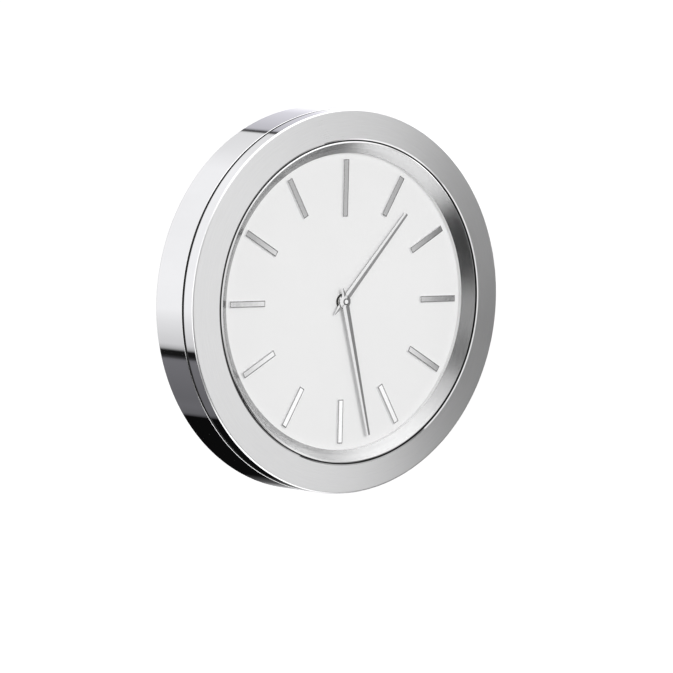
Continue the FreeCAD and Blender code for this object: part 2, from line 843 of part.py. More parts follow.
def make_rear_cover():
    """The cover over the battery opening, its flat seal and its screws."""
    body = new_body("rear_cover")
    turn(body, "disc", [
        ("0", "cover_out"),
        ("cover_radius", "cover_out"),
        ("cover_radius", "cover_out + cover_thickness"),
        ("cover_opening - 0.3", "cover_out + cover_thickness"),
        ("cover_opening - 0.3", "floor_out + 0.6"),
        ("cover_opening - 2", "floor_out + 0.6"),
        ("cover_opening - 2", "cover_out + cover_thickness"),
        ("0", "cover_out + cover_thickness"),
    ])
    hole = pocket(body, "screw_hole", "cover_out - cut_over", "cover_thickness + 2 * cut_over",
                  circles=[("small_screw + screw_play", "0", "cover_screw_circle")])
    repeat(body, "screw_holes", [hole], 3)
    keep(body, "rear_cover")
    seal = new_body("rear_cover_seal")
    turn(seal, "flat_ring", [
        ("cover_opening", "cover_out + cover_thickness"),
        ("cover_seal_outer", "cover_out + cover_thickness"),
        ("cover_seal_outer", "floor_out"),
        ("cover_opening", "floor_out"),
    ])
    keep(seal, "rear_cover_seal")
    screws("rear_cover_screws", "cover_out", "floor_out + floor_thickness",
           "cover_out - 0.5", "cover_out", "small_screw", "small_head - 0.2",
           on_circle("cover_screw_circle", 3, 0.0))


# ---- movement housing -------------------------------------------------------------

EAR_PLACES = [("ear_reach", "ear_height"), ("-ear_reach", "ear_height"),
              ("ear_reach", "-ear_height"), ("-ear_reach", "-ear_height")]
PILLARS = [("-pillar_place", "pillar_place"), ("-pillar_place", "pillar_low"),
           ("pillar_place", "pillar_low"), ("pillar_place", "pillar_high")]

centre_axis = (0.0, 0.0)
motion_axis = moved(centre_axis, mesh_distance(CANNON_TEETH, MOTION_TEETH, MINUTE_MODULE),
                    MOTION_BEARING)
knob_axis = moved(motion_axis, mesh_distance(MOTION_TEETH, KNOB_TEETH, MINUTE_MODULE),
                  KNOB_BEARING)
third_axis = moved(centre_axis, mesh_distance(CENTRE_TEETH, THIRD_PINION_TEETH, TRAIN_MODULE),
                   THIRD_BEARING)
seconds_axis = moved(third_axis, mesh_distance(THIRD_TEETH, SECONDS_PINION_TEETH, TRAIN_MODULE),
                     SECONDS_BEARING)
intermediate_axis = moved(
    seconds_axis, mesh_distance(SECONDS_TEETH, INTERMEDIATE_PINION_TEETH, MOTOR_MODULE),
    INTERMEDIATE_BEARING)
rotor_axis = moved(
    intermediate_axis, mesh_distance(INTERMEDIATE_TEETH, ROTOR_PINION_TEETH, MOTOR_MODULE),
    ROTOR_BEARING)
PIVOT_AXES = [third_axis, seconds_axis, intermediate_axis, rotor_axis]


def words(axis):
    """An axis as a pair of expressions."""
    return f"{axis[0]:.6f}", f"{axis[1]:.6f}"


def make_movement_front():
    """The front half of the housing, with the bushing, the pillars and four ears."""
    body = new_body("movement_front_shell")
    half = "movement_half"
    inner = "movement_half - movement_wall"
    depth = "movement_front - movement_split"
    pad(body, "shell", "movement_split", depth,
        polygons=[rectangle(f"-{half}", half, f"-{half}", half)])
    pocket(body, "train_room", "movement_split - cut_over", f"{depth} - movement_wall + 1",
           polygons=[rectangle(f"-({inner})", inner, "bay_top + movement_wall", inner)])
    pocket(body, "battery_bay", "movement_split - cut_over", f"{depth} - bay_wall + 1",
           polygons=[rectangle(f"-({inner})", inner, f"-({inner})", "bay_top")])
    for index, (across, upward) in enumerate(EAR_PLACES, start=1):
        side = "-" if across.startswith("-") else ""
        near = f"{side}({half} - 0.5)"
        far = f"{side}ear_reach"
        left, right = (far, near) if side else (near, far)
        strip = rectangle(left, right, f"{upward} - ear_radius", f"{upward} + ear_radius")
        pad(body, f"ear_{index}", "movement_front - ear_thickness", "ear_thickness",
            polygons=[strip])
        pad(body, f"ear_end_{index}", "movement_front - ear_thickness", "ear_thickness",
            circles=[("ear_radius", across, upward)])
        pocket(body, f"ear_hole_{index}", "movement_front - ear_thickness - cut_over",
               "ear_thickness + 2 * cut_over", circles=[("small_screw + 2 * screw_play", across, upward)])
    bottom = "bridge_out + bridge_thickness"
    for index, (across, upward) in enumerate(PILLARS, start=1):
        pad(body, f"pillar_{index}", bottom, f"movement_front - 0.5 - ({bottom})",
            circles=[("pillar_radius", across, upward)])
    pad(body, "bushing", "movement_front - 0.5", "dial_front - movement_front + 0.5",
        circles=[("bushing_radius",)])
    pocket(body, "bushing_bore", "movement_front - movement_wall - cut_over", "dial_front",
           circles=[("bushing_bore",)])
    across, upward = words(motion_axis)
    pad(body, "motion_post", "post_end_out", "movement_front - 0.5 - post_end_out",
        circles=[("motion_post", across, upward)])
    inner_face = "movement_front - movement_wall"
    for index, axis in enumerate(PIVOT_AXES, start=1):
        pocket(body, f"pivot_hole_{index}", f"{inner_face} - cut_over", "1.8",
               circles=[("pivot_radius + pivot_play", *words(axis))])
    return keep(body, "movement_front_shell")


def make_movement_back():
    """The back half of the housing, open over the battery."""
    body = new_body("movement_back_cover")
    half = "movement_half"
    inner = "movement_half - movement_wall"
    depth = "movement_split - movement_back"
    pad(body, "shell", "movement_back", depth,
        polygons=[rectangle(f"-{half}", half, f"-{half}", half)])
    pocket(body, "rear_room", "movement_back + movement_wall", depth,
           polygons=[rectangle(f"-({inner})", inner, "bay_top + movement_wall", inner)])
    pocket(body, "battery_window", "movement_back - cut_over", f"{depth} + 2 * cut_over",
           polygons=[rectangle(f"-({inner})", inner, f"-({inner})", "bay_top")])
    pocket(body, "knob_hole", "movement_back - cut_over", "movement_wall + 2 * cut_over",
           circles=[("knob_shaft + pivot_play", *words(knob_axis))])
    return keep(body, "movement_back_cover")


def make_train_bridge():
    """The plate that carries the rear pivots."""
    body = new_body("train_bridge")
    inner = "movement_half - movement_wall - 0.2"
    pad(body, "plate", "bridge_out", "bridge_thickness",
        polygons=[rectangle(f"-({inner})", inner, "bay_top + movement_wall + 0.2", inner)])
    pivots = [("pivot_radius + pivot_play", *words(axis)) for axis in PIVOT_AXES]
    pivots.append(("arbor_tail + pivot_play", "0", "0"))
    pivots.append(("knob_shaft + pivot_play", *words(knob_axis)))
    pocket(body, "pivot_holes", "bridge_out - cut_over", "bridge_thickness + 2 * cut_over", circles=pivots)
    return keep(body, "train_bridge")


def make_studs():
    """Posts on the back of the dial, and the screws that hold the movement's ears."""
    pieces = []
    for index, (across, upward) in enumerate(EAR_PLACES, start=1):
        stud = post(f"stud_{index}", "stud_radius", "movement_front", "dial_front - dial_thickness",
                    across, upward)
        bore = post(f"stud_bore_{index}", "small_screw + screw_play", "movement_front - 0.1",
                    "movement_front + stud_bore", across, upward)
        pieces.append(cut(f"bored_stud_{index}", stud, bore))
    keep(group("dial_studs", pieces), "dial_studs")
    back = "movement_front - ear_thickness"
    screws("movement_screws", back, "movement_front + stud_bore - 0.1", f"{back} - small_head_height",
           back, "small_screw", "small_head", EAR_PLACES)


# ---- battery, circuit and motor ---------------------------------------------------


SPRING_RADII = (4.2, 3.0)
SPRING_STEPS = (0.65, 1.1)


def make_battery():
    """The cell, with its nub to the right, a plate contact and a spring contact."""
    wall = "(movement_half - movement_wall)"
    left = "-battery_length / 2 - 0.6"
    right = "battery_length / 2 - 0.6"
    cell = crosswise("cell", "battery_radius", left, right, "battery_out", "battery_height")
    nub = crosswise("cell_nub", "nub_radius", right, f"{right} + battery_nub",
                    "battery_out", "battery_height")
    keep(fuse("battery_cell", [cell, nub]), "battery_cell")
    low, high = "battery_height - contact_half", "battery_height + contact_half"
    rear, front = "battery_out - contact_half + 0.5", "battery_out + contact_half"
    keep(block("battery_plate_contact", f"{wall} - contact_play - contact_thickness",
               f"{wall} - contact_play", low, high, rear, front), "battery_plate_contact")
    plate = block("spring_plate", f"-{wall} + contact_play",
                  f"-{wall} + contact_play + contact_thickness",
                  low, high, rear, front)
    core = crosswise("spring_core", "spring_core", f"-{wall} + contact_thickness",
                     f"-{wall} + contact_thickness + 2 * spring_wire",
                     "battery_out", "battery_height")
    turns = []
    for index in range(len(SPRING_RADII)):
        turn_ring = doc.addObject("Part::Torus", f"spring_turn_{index + 1}")
        turn_ring.Radius1 = SPRING_RADII[index]
        turn_ring.setExpression("Radius2", named("spring_wire"))
        turn_ring.Placement = FreeCAD.Placement(
            Vector(), FreeCAD.Rotation(Vector(0, 1, 0), 90))
        turn_ring.setExpression("Placement.Base.x", named(f"-{wall} + {SPRING_STEPS[index]}"))
        turn_ring.setExpression("Placement.Base.y", named("-battery_out"))
        turn_ring.setExpression("Placement.Base.z", named("battery_height"))
        turns.append(turn_ring)
    keep(fuse("battery_spring_contact", [plate, core, *turns]), "battery_spring_contact")


def make_circuit():
    """The board with its chip, and the quartz can that lies on the board."""
    board = block("board", "board_left", "board_right", "board_low", "board_high",
                  "board_out", "board_out + board_thickness")
    chip = block("chip", "board_left + 6", "board_left + 11", "board_low + 3",
                 "board_low + 8", "board_out - 0.8", "board_out + 0.1")
    keep(fuse("circuit_board", [board, chip]), "circuit_board")
    can = crosswise("quartz_can", "can_radius", "board_left + 5",
                    "board_left + 5 + can_length", "board_out - can_radius - 0.01",
                    "board_high - 4")
    keep(can, "quartz_can")


def make_motor():
    """The stepping motor: stator plate, core, bobbin and winding."""
    body = new_body("stator")
    rear = "coil_out - core_half"
    thickness = "2 * core_half"
    left_inner = "stator_left + stator_leg"
    right_inner = "stator_right - stator_leg"
    pad(body, "plate", rear, thickness,
        polygons=[rectangle("stator_left", "stator_right", "stator_low", "stator_high")])
    pad(body, "left_leg", rear, thickness,
        polygons=[rectangle("stator_left", left_inner, "stator_high - 0.2", "leg_top")])
    pad(body, "right_leg", rear, thickness,
        polygons=[rectangle(right_inner, "stator_right", "stator_high - 0.2", "leg_top")])
    pocket(body, "rotor_hole", f"{rear} - cut_over", f"{thickness} + 2 * cut_over",
           circles=[("magnet_radius + 0.5", *words(rotor_axis))])
    keep(body, "stator")
    low, high = "coil_height - core_width / 2", "coil_height + core_width / 2"
    keep(block("stator_core", left_inner, right_inner, low, high, rear,
               f"{rear} + {thickness}"), "stator_core")
    place = ("coil_out", "coil_height")
    barrel = crosswise("bobbin_barrel", "barrel_radius", "bobbin_left", "bobbin_right", *place)
    flange = "coil_radius + 0.2"
    ends = [crosswise("bobbin_left_end", flange, "bobbin_left",
                      "bobbin_left + bobbin_flange", *place),
            crosswise("bobbin_right_end", flange, "bobbin_right - bobbin_flange",
                      "bobbin_right", *place)]
    slot = block("bobbin_slot", "bobbin_left - 1", "bobbin_right + 1", f"{low} - 0.02",
                 f"{high} + 0.02", f"{rear} - 0.02", f"{rear} + {thickness} + 0.02")
    keep(cut("coil_bobbin", fuse("spool", [barrel, *ends]), slot), "coil_bobbin")
    wire = crosswise("wire", "coil_radius", "bobbin_left + bobbin_flange + 0.02",
                     "bobbin_right - bobbin_flange - 0.02", *place)
    hollow = crosswise("wire_hollow", "barrel_radius + 0.02", "bobbin_left", "bobbin_right",
                       *place)
    keep(cut("coil_winding", wire, hollow), "coil_winding")


# ---- wheels -----------------------------------------------------------------------

motion_phase = mating_phase(MOTION_BEARING, CANNON_TEETH, 0.0, MOTION_TEETH)
knob_phase = mating_phase(KNOB_BEARING, MOTION_TEETH, motion_phase, KNOB_TEETH)
hour_phase = mating_phase(MOTION_BEARING + 180.0, MOTION_PINION_TEETH, 0.0, HOUR_TEETH)
third_phase = mating_phase(THIRD_BEARING, CENTRE_TEETH, 0.0, THIRD_PINION_TEETH)
seconds_phase = mating_phase(SECONDS_BEARING, THIRD_TEETH, 0.0, SECONDS_PINION_TEETH)
intermediate_phase = mating_phase(
    INTERMEDIATE_BEARING, SECONDS_TEETH, 0.0, INTERMEDIATE_PINION_TEETH)
rotor_phase = mating_phase(ROTOR_BEARING, INTERMEDIATE_TEETH, 0.0, ROTOR_PINION_TEETH)

FRONT_PIVOT = "movement_front - 0.6"
REAR_PIVOT = "bridge_out - 0.2"
ARBOR_FRONT = "movement_front - movement_wall - 0.15"
ARBOR_REAR = "bridge_out + bridge_thickness + 0.15"


def arbor(name, axis):
    """A pivoted steel pin: a thicker middle and a thin pivot at each end."""
    across, upward = words(axis)
    middle = post(f"{name}_pin", "pin_radius", ARBOR_REAR, ARBOR_FRONT, across, upward)
    pivots = post(f"{name}_pivots", "pivot_radius", REAR_PIVOT, FRONT_PIVOT, across, upward)
    return [middle, pivots]


def make_hour_wheel():
    """The hour wheel and its tube, which carries the hour hand."""
    disc = toothed("hour_disc", HOUR_TEETH, HOUR_MODULE, centre_axis, hour_phase,
                   "hour_layer", "wheel_thickness")
    tube = post("hour_tube", "hour_tube", "hour_layer", "hour_out + hub_thickness")
    bore = post("hour_tube_bore", "hour_bore", "hour_layer - 0.1", "hour_out + 2")
    keep(cut("hour_wheel", fuse("hour_wheel_solid", [disc, tube]), bore), "hour_wheel")


def make_minute_arbor():
    """The arbor through the hour tube, with the cannon pinion on it."""
    pinion = toothed("cannon_teeth", CANNON_TEETH, MINUTE_MODULE, centre_axis, 0.0,
                     "cannon_layer", "wheel_thickness")
    shaft = post("minute_shaft", "arbor_radius", "shaft_step_out", "minute_out + hub_thickness")
    tail = post("minute_tail_pin", "arbor_tail", REAR_PIVOT, "shaft_step_out + 0.1")
    keep(fuse("minute_arbor", [pinion, shaft, tail]), "minute_arbor")


def make_motion_wheel():
    """The wheel on the front shell's post, geared down from the arbor to the hour wheel."""
    wheel = toothed("motion_teeth", MOTION_TEETH, MINUTE_MODULE, motion_axis, motion_phase,
                    "cannon_layer", "wheel_thickness")
    pinion = toothed("motion_pinion", MOTION_PINION_TEETH, HOUR_MODULE, motion_axis, 0.0,
                     "cannon_layer + pinion_lap", "hour_layer - cannon_layer + 0.15")
    bore = post("motion_bore", "motion_post + pivot_play", "cannon_layer - 1",
                "movement_front", *words(motion_axis))
    keep(cut("motion_wheel", fuse("motion_solid", [wheel, pinion]), bore), "motion_wheel")


def make_setting_knob():
    """The knob at the back. Its pinion turns the motion wheel."""
    across, upward = words(knob_axis)
    pinion = toothed("knob_pinion", KNOB_TEETH, MINUTE_MODULE, knob_axis, knob_phase,
                     "cannon_layer", "wheel_thickness")
    shaft = post("knob_stem", "knob_shaft", "knob_out + 0.5", "stem_end_out", across, upward)
    grip = post("knob_grip", "knob_radius", "knob_out", "knob_out + knob_height",
                across, upward)
    keep(fuse("setting_knob", [pinion, shaft, grip]), "setting_knob")


def make_centre_wheel():
    """The centre wheel turns on the minute arbor, which the washer drives by friction."""
    wheel = toothed("centre_teeth", CENTRE_TEETH, TRAIN_MODULE, centre_axis, 0.0,
                    "centre_layer", "thin_wheel")
    play = "arbor_radius + pivot_play"
    bore = post("centre_bore", play, "centre_layer - 1", "centre_layer + 2")
    keep(cut("centre_wheel", wheel, bore), "centre_wheel")
    washer = post("washer_disc", "washer_radius", "washer_layer",
                  "washer_layer + washer_thickness")
    hole = post("washer_hole", play, "washer_layer - 1", "washer_layer + 1")
    keep(cut("friction_washer", washer, hole), "friction_washer")


def make_train_wheel(label, axis, wheel, pinion):
    """A wheel and a pinion on one pivoted arbor. Each is (teeth, module, phase, rear
    face, thickness)."""
    parts = []
    for tag, (teeth, module, phase, start, thickness) in (("wheel", wheel), ("pinion", pinion)):
        parts.append(toothed(f"{label}_{tag}_teeth", teeth, module, axis, phase, start,
                             thickness))
    keep(fuse(label, [*parts, *arbor(label, axis)]), label)


def make_going_train():
    """The wheels between the centre wheel and the motor, and the rotor."""
    make_train_wheel(
        "third_wheel", third_axis,
        (THIRD_TEETH, TRAIN_MODULE, 0.0, "third_layer", "thin_wheel"),
        (THIRD_PINION_TEETH, TRAIN_MODULE, third_phase, "third_layer + pinion_start",
         "third_pinion"))
    make_train_wheel(
        "seconds_wheel", seconds_axis,
        (SECONDS_TEETH, MOTOR_MODULE, 0.0, "seconds_layer", "thin_wheel"),
        (SECONDS_PINION_TEETH, TRAIN_MODULE, seconds_phase, "seconds_layer + pinion_start",
         "seconds_pinion"))
    make_train_wheel(
        "intermediate_wheel", intermediate_axis,
        (INTERMEDIATE_TEETH, MOTOR_MODULE, 0.0, "intermediate_layer", "thin_wheel"),
        (INTERMEDIATE_PINION_TEETH, MOTOR_MODULE, intermediate_phase,
         "intermediate_layer + pinion_start", "intermediate_pinion"))
    pinion = toothed("rotor_pinion", ROTOR_PINION_TEETH, MOTOR_MODULE, rotor_axis,
                     rotor_phase, "rotor_layer", "rotor_pinion")
    magnet = post("rotor_magnet", "magnet_radius", "magnet_out",
                  "magnet_out + magnet_length", *words(rotor_axis))
    keep(fuse("rotor", [pinion, magnet, *arbor("rotor", rotor_axis)]), "rotor")


# ---- the whole clock --------------------------------------------------------------

make_mounting_plate()
make_bayonet_ring()
make_rear_cover()
make_case_body()
make_seam_seal()
make_bezel()
make_reflector_ring()
make_reflector_seal()
make_crystal()
make_dial()
for number in HOUR_NUMBERS:
    make_hour_marker(number)
make_dial_clamp()
make_studs()
make_hand("hour", "hour_tube")
make_hand("minute", "arbor_radius")
make_hand_cap()
make_movement_front()
make_movement_back()
make_train_bridge()
make_battery()
make_circuit()
make_motor()
make_hour_wheel()
make_minute_arbor()
make_motion_wheel()
make_setting_knob()
make_centre_wheel()
make_going_train()

doc.recompute()
faults = [item.Label for item in doc.Objects if {"Invalid", "Error"} & set(item.State)]
for node in nodes:
    shape = node.Shape
    if shape.isNull() or not shape.isValid() or not shape.Solids:
        faults.append(node.Label)
if faults:
    raise RuntimeError(f"these failed: {sorted(set(faults))}")

os.makedirs("parts", exist_ok=True)
for node in nodes:
    node.Shape.exportStep(f"parts/{node.Label}.step")
print(f"{len(nodes)} sub-parts written")
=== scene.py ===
import math

import bmesh
import bpy
from mathutils import Matrix, Vector


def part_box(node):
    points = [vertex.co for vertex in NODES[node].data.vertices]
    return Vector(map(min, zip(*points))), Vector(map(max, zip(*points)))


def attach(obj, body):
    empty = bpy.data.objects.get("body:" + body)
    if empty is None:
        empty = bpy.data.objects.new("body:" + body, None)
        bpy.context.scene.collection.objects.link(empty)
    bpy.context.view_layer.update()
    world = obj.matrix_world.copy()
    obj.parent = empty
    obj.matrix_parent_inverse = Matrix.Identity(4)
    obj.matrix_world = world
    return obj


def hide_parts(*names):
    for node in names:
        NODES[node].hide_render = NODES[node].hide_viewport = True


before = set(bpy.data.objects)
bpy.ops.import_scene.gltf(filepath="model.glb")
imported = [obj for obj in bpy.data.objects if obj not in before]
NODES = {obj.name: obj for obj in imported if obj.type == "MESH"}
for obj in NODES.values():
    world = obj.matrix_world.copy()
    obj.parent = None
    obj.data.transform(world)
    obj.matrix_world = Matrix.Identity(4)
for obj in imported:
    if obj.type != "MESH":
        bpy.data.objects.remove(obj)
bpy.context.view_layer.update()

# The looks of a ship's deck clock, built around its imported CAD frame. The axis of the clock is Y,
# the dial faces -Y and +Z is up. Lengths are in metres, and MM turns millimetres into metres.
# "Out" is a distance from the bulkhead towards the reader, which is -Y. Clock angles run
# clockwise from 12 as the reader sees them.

MM = 0.001

AROUND = 384          # straight steps in one turn of a lathed piece
BROKEN_EDGE = 0.03    # mm, the rounding of an edge that is called sharp
FACET_BEVEL = 0.04    # mm, the bevel on the edges of markers and hands
FACET_ANGLE = math.radians(8)     # edges that turn by less aren't bevelled
ARC_STEP = math.radians(9)        # the longest step round a profile's corner
CLOSE = 0.003         # mm, nearer than this is the same place in a turned profile
CAD_CLOSE = 0.01      # mm, the same for the radii of a CAD node's corners
LEVEL_CLOSE = 0.02    # mm, the same for their distances out


# ---- sizes read from the frame -----------------------------------------------------


def rear(node):
    """Millimetres out to the rearmost point of a node."""
    return -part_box(node)[1].y / MM


def front(node):
    """Millimetres out to the foremost point of a node."""
    return -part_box(node)[0].y / MM


def corners_of(node):
    """The radius and the distance out, in mm, of each corner of a node's mesh."""
    return [(math.hypot(v.co.x, v.co.z) / MM, -v.co.y / MM)
            for v in NODES[node].data.vertices]


def radius(node, out, pick):
    """One radius in mm, such as the smallest, of a node's corners at one distance out."""
    return pick([reach for reach, where in corners_of(node) if abs(where - out) < LEVEL_CLOSE])


def level(node, low, high, pick):
    """One distance out in mm, such as the least, of a node's corners between two radii."""
    return pick([out for reach, out in corners_of(node) if low < reach < high])


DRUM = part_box("case_body")[1].x / MM
SEAM_REAR = rear("seam_seal")
SEAM_FRONT = front("seam_seal")
SEAL_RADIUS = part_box("seam_seal")[1].x / MM
RIM = rear("case_body")
DEPTH = front("bezel")
DIAL_FRONT = front("dial")
DIAL_REAR = rear("dial")


# ---- meshes ------------------------------------------------------------------------


def at(clock_radius, out, angle):
    """The point at a radius and distance out in mm, and a clock angle in radians."""
    return Vector((clock_radius * math.sin(angle), -out, clock_radius * math.cos(angle))) * MM


def add_piece(name, mesh, body, materials, nodes):
    """Puts a mesh into the scene as a piece that rides on a body and stands for CAD nodes.

    A piece that only adds to one that stands for a node has no nodes of its own."""
    piece = bpy.data.objects.new(name, mesh)
    bpy.context.scene.collection.objects.link(piece)
    for material in materials:
        mesh.materials.append(material)
    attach(piece, body)
    if nodes:
        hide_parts(*nodes)
    return piece


def rounded(corners, closed):
    """Points, normals and finishes along a profile whose corners are rounded.

    Each corner is (radius, out, rounding, finish), and its finish runs on to the next one.
    The corners run so that the solid lies on the left. A profile that isn't closed starts
    and ends on the axis."""
    path = []
    count = len(corners)
    for index, (across, out, rounding, finish) in enumerate(corners):
        here = Vector((across, out))
        before = Vector(corners[index - 1][:2])
        after = Vector(corners[(index + 1) % count][:2])
        if not closed and index in (0, count - 1):
            run = after - here if index == 0 else here - before
            path.append((here, Vector((run.y, -run.x)).normalized(), finish))
            continue
        back, ahead = (before - here).normalized(), (after - here).normalized()
        half = back.angle(ahead) / 2
        reach = rounding / math.tan(half)
        centre = here + (back + ahead).normalized() * rounding / math.sin(half)
        start, end = here + back * reach - centre, here + ahead * reach - centre
        turn = start.angle_signed(end)
        convex = -1 if back.x * ahead.y - back.y * ahead.x > 0 else 1
        steps = max(2, math.ceil(abs(turn) / ARC_STEP))
        for step in range(steps + 1):
            spoke = Matrix.Rotation(-turn * step / steps, 2) @ start
            path.append((centre + spoke, spoke.normalized() * convex, finish))
    return path


def lathe(name, corners, closed=True):
    """A turned mesh with exact normals. Each corner is (radius, out, rounding, finish)."""
    path = rounded(corners, closed)
    mesh = bpy.data.meshes.new(name)
    points, normals, rings = [], [], []
    for place, normal, _ in path:
        on_axis = place.x < CLOSE
        ring = []
        for step in range(1 if on_axis else AROUND):
            angle = 2 * math.pi * step / AROUND
            ring.append(len(points))
            points.append(at(place.x, place.y, angle))
            normals.append(at(normal.x, normal.y, angle).normalized())
        rings.append(ring)
    faces, finishes = [], []
    last = len(path) if closed else len(path) - 1
    for index in range(last):
        inner, outer = rings[index], rings[(index + 1) % len(path)]
        for step in range(AROUND):
            near, far = step, (step + 1) % AROUND
            if len(inner) == 1:
                faces.append((inner[0], outer[near], outer[far]))
            elif len(outer) == 1:
                faces.append((inner[near], outer[0], inner[far]))
            else:
                faces.append((inner[near], outer[near], outer[far], inner[far]))
            finishes.append(path[index][2])
    mesh.from_pydata(points, [], faces)
    mesh.polygons.foreach_set("material_index", finishes)
    mesh.polygons.foreach_set("use_smooth", [True] * len(faces))
    mesh.update()
    mesh.normals_split_custom_set_from_vertices(normals)
    return mesh


def profile(rows):
    """Corners, with a sharp edge and the first finish where a row leaves them out."""
    return [(*row, *(BROKEN_EDGE, 0)[len(row) - 2:]) for row in rows]


def soften(piece):
    """Breaks a faceted piece's edges with a small bevel and keeps its facets flat."""
    bevel = piece.modifiers.new("broken_edges", "BEVEL")
    bevel.width = FACET_BEVEL * MM
    bevel.segments = 2
    bevel.limit_method = "ANGLE"
    bevel.angle_limit = FACET_ANGLE
    bevel.harden_normals = False
    weights = piece.modifiers.new("flat_facets", "WEIGHTED_NORMAL")
    weights.keep_sharp = True
    for polygon in piece.data.polygons:
        polygon.use_smooth = True


# ---- node graphs -------------------------------------------------------------------


class Graph:
    """A node tree with short ways to add nodes to it."""

    def __init__(self, tree):
        self.tree = tree
        tree.nodes.clear()

    def add(self, kind, inputs=(), **settings):
        """Adds a node. inputs are (socket, number or other node's socket) pairs."""
        node = self.tree.nodes.new(kind)
        for key, value in settings.items():
            setattr(node, key, value)
        for socket, value in inputs:
            self.set(node, socket, value)
        return node

    def set(self, node, socket, value):
        """Links an input to another node's socket, or gives it a number or colour."""
        if isinstance(value, bpy.types.NodeSocket):
            self.tree.links.new(value, node.inputs[socket])
        else:
            node.inputs[socket].default_value = value

    def math(self, operation, first, second=0.0):
        node = self.add("ShaderNodeMath", [(0, first), (1, second)], operation=operation)
        return node.outputs[0]

    def vector(self, *parts):
        return self.add("ShaderNodeCombineXYZ", list(enumerate(parts))).outputs[0]

    def split(self, vector):
        return self.add("ShaderNodeSeparateXYZ", [(0, vector)]).outputs

    def noise(self, vector, scale, detail=3.0, roughness=0.5):
        node = self.add("ShaderNodeTexNoise", [
            ("Vector", vector), ("Scale", scale), ("Detail", detail),
            ("Roughness", roughness)])
        return node.outputs["Fac"]

    def rescale(self, value, low, high, to_low, to_high, smooth=False):
        """Maps low..high to to_low..to_high, held at the ends, with a soft S if smooth."""
        node = self.add("ShaderNodeMapRange", [
            ("Value", value), ("From Min", low), ("From Max", high), ("To Min", to_low),
            ("To Max", to_high)])
        if smooth:
            node.interpolation_type = "SMOOTHSTEP"
        return node.outputs["Result"]

    def ramp(self, value, stops):
        """A colour ramp. stops are (place from 0 to 1, grey or colour)."""
        node = self.add("ShaderNodeValToRGB", [("Fac", value)])
        elements = node.color_ramp.elements
        for index, (place, shade) in enumerate(stops):
            if index < 2:       # a new ramp has two stops already
                stop = elements[index]
                stop.position = place
            else:
                stop = elements.new(place)
            colour = (shade,) * 3 if isinstance(shade, (int, float)) else shade
            stop.color = (*colour, 1.0)
        return node.outputs["Color"]

    def mix(self, factor, first, second):
        """Mixes two colours. The numbers are the Mix node's sockets for colours."""
        node = self.add("ShaderNodeMix", data_type="RGBA")
        for socket, value in ((0, factor), (6, first), (7, second)):
            self.set(node, socket, value)
        return node.outputs[2]


NOISE_LOW, NOISE_HIGH = 0.3, 0.7   # most of a noise texture lies between these


def grey(value, tint=(1.0, 1.0, 1.0)):
    """A grey, which may be tinted, as a colour with its alpha."""
    return tuple(value * part for part in tint) + (1.0,)


def new_finish(name, **constants):
    """A material with a Principled shader. Constants go on the shader's own sockets."""
    material = bpy.data.materials.new(name)
    material.use_nodes = True
    graph = Graph(material.node_tree)
    shader = graph.add("ShaderNodeBsdfPrincipled")
    for socket, value in constants.items():
        shader.inputs[socket.replace("_", " ")].default_value = value
    graph.add("ShaderNodeOutputMaterial", [("Surface", shader.outputs[0])])
    return material, graph, shader


def place_in_clock(graph):
    """The point in the clock's frame, as a vector."""
    return graph.add("ShaderNodeTexCoord").outputs["Object"]


def turned_marks(graph, fine, coarse):
    """A vector for marks that run around the clock's axis: fine across them, coarse along."""
    never_zero = 1e-10
    across, out, up = graph.split(place_in_clock(graph))
    squares = graph.math("ADD", graph.math("MULTIPLY", across, across),
                         graph.math("MULTIPLY", up, up))
    reach = graph.math("SQRT", graph.math("ADD", squares, never_zero))
    depth = graph.math("MULTIPLY", graph.math("SUBTRACT", reach, out), fine)
    sine = graph.math("MULTIPLY", graph.math("DIVIDE", across, reach), coarse)
    cosine = graph.math("MULTIPLY", graph.math("DIVIDE", up, reach), coarse)
    return graph.vector(depth, sine, cosine)


def straight_marks(graph, scales):
    """A vector for marks along one straight direction: a scale for each axis."""
    parts = graph.split(place_in_clock(graph))
    return graph.vector(*[graph.math("MULTIPLY", part, scale)
                          for part, scale in zip(parts, scales)])


def vary(graph, shader, socket, value, low, high):
    """Links a noise texture to a shader's number, between two ends."""
    graph.set(shader, socket, graph.rescale(value, NOISE_LOW, NOISE_HIGH, low, high))


def tone(graph, shader, value, low, high):
    """Links a noise texture to the base colour, between two colours."""
    share = graph.rescale(value, NOISE_LOW, NOISE_HIGH, 0.0, 1.0)
    graph.set(shader, "Base Color", graph.mix(share, low, high))


def raise_marks(graph, shader, height, strength, distance):
    """Adds a bump from a 0 to 1 texture. distance is its full height in mm."""
    bump = graph.add("ShaderNodeBump", [
        ("Height", height), ("Strength", strength), ("Distance", distance * MM)])
    graph.set(shader, "Normal", bump.outputs["Normal"])


# ---- finishes ----------------------------------------------------------------------

STEEL_TINT = (1.0, 1.0, 1.006)


def make_mirror_steel():
    """Polished stainless steel, with faint wipe marks in its gloss."""
    material, graph, shader = new_finish("mirror_steel", Metallic=1.0)
    wipes = graph.noise(straight_marks(graph, (30.0, 12.0, 45.0)), 1.0, detail=4.0, roughness=0.6)
    vary(graph, shader, "Roughness", wipes, 0.018, 0.05)
    tone(graph, shader, wipes, grey(0.80, STEEL_TINT), grey(0.835, STEEL_TINT))
    return material


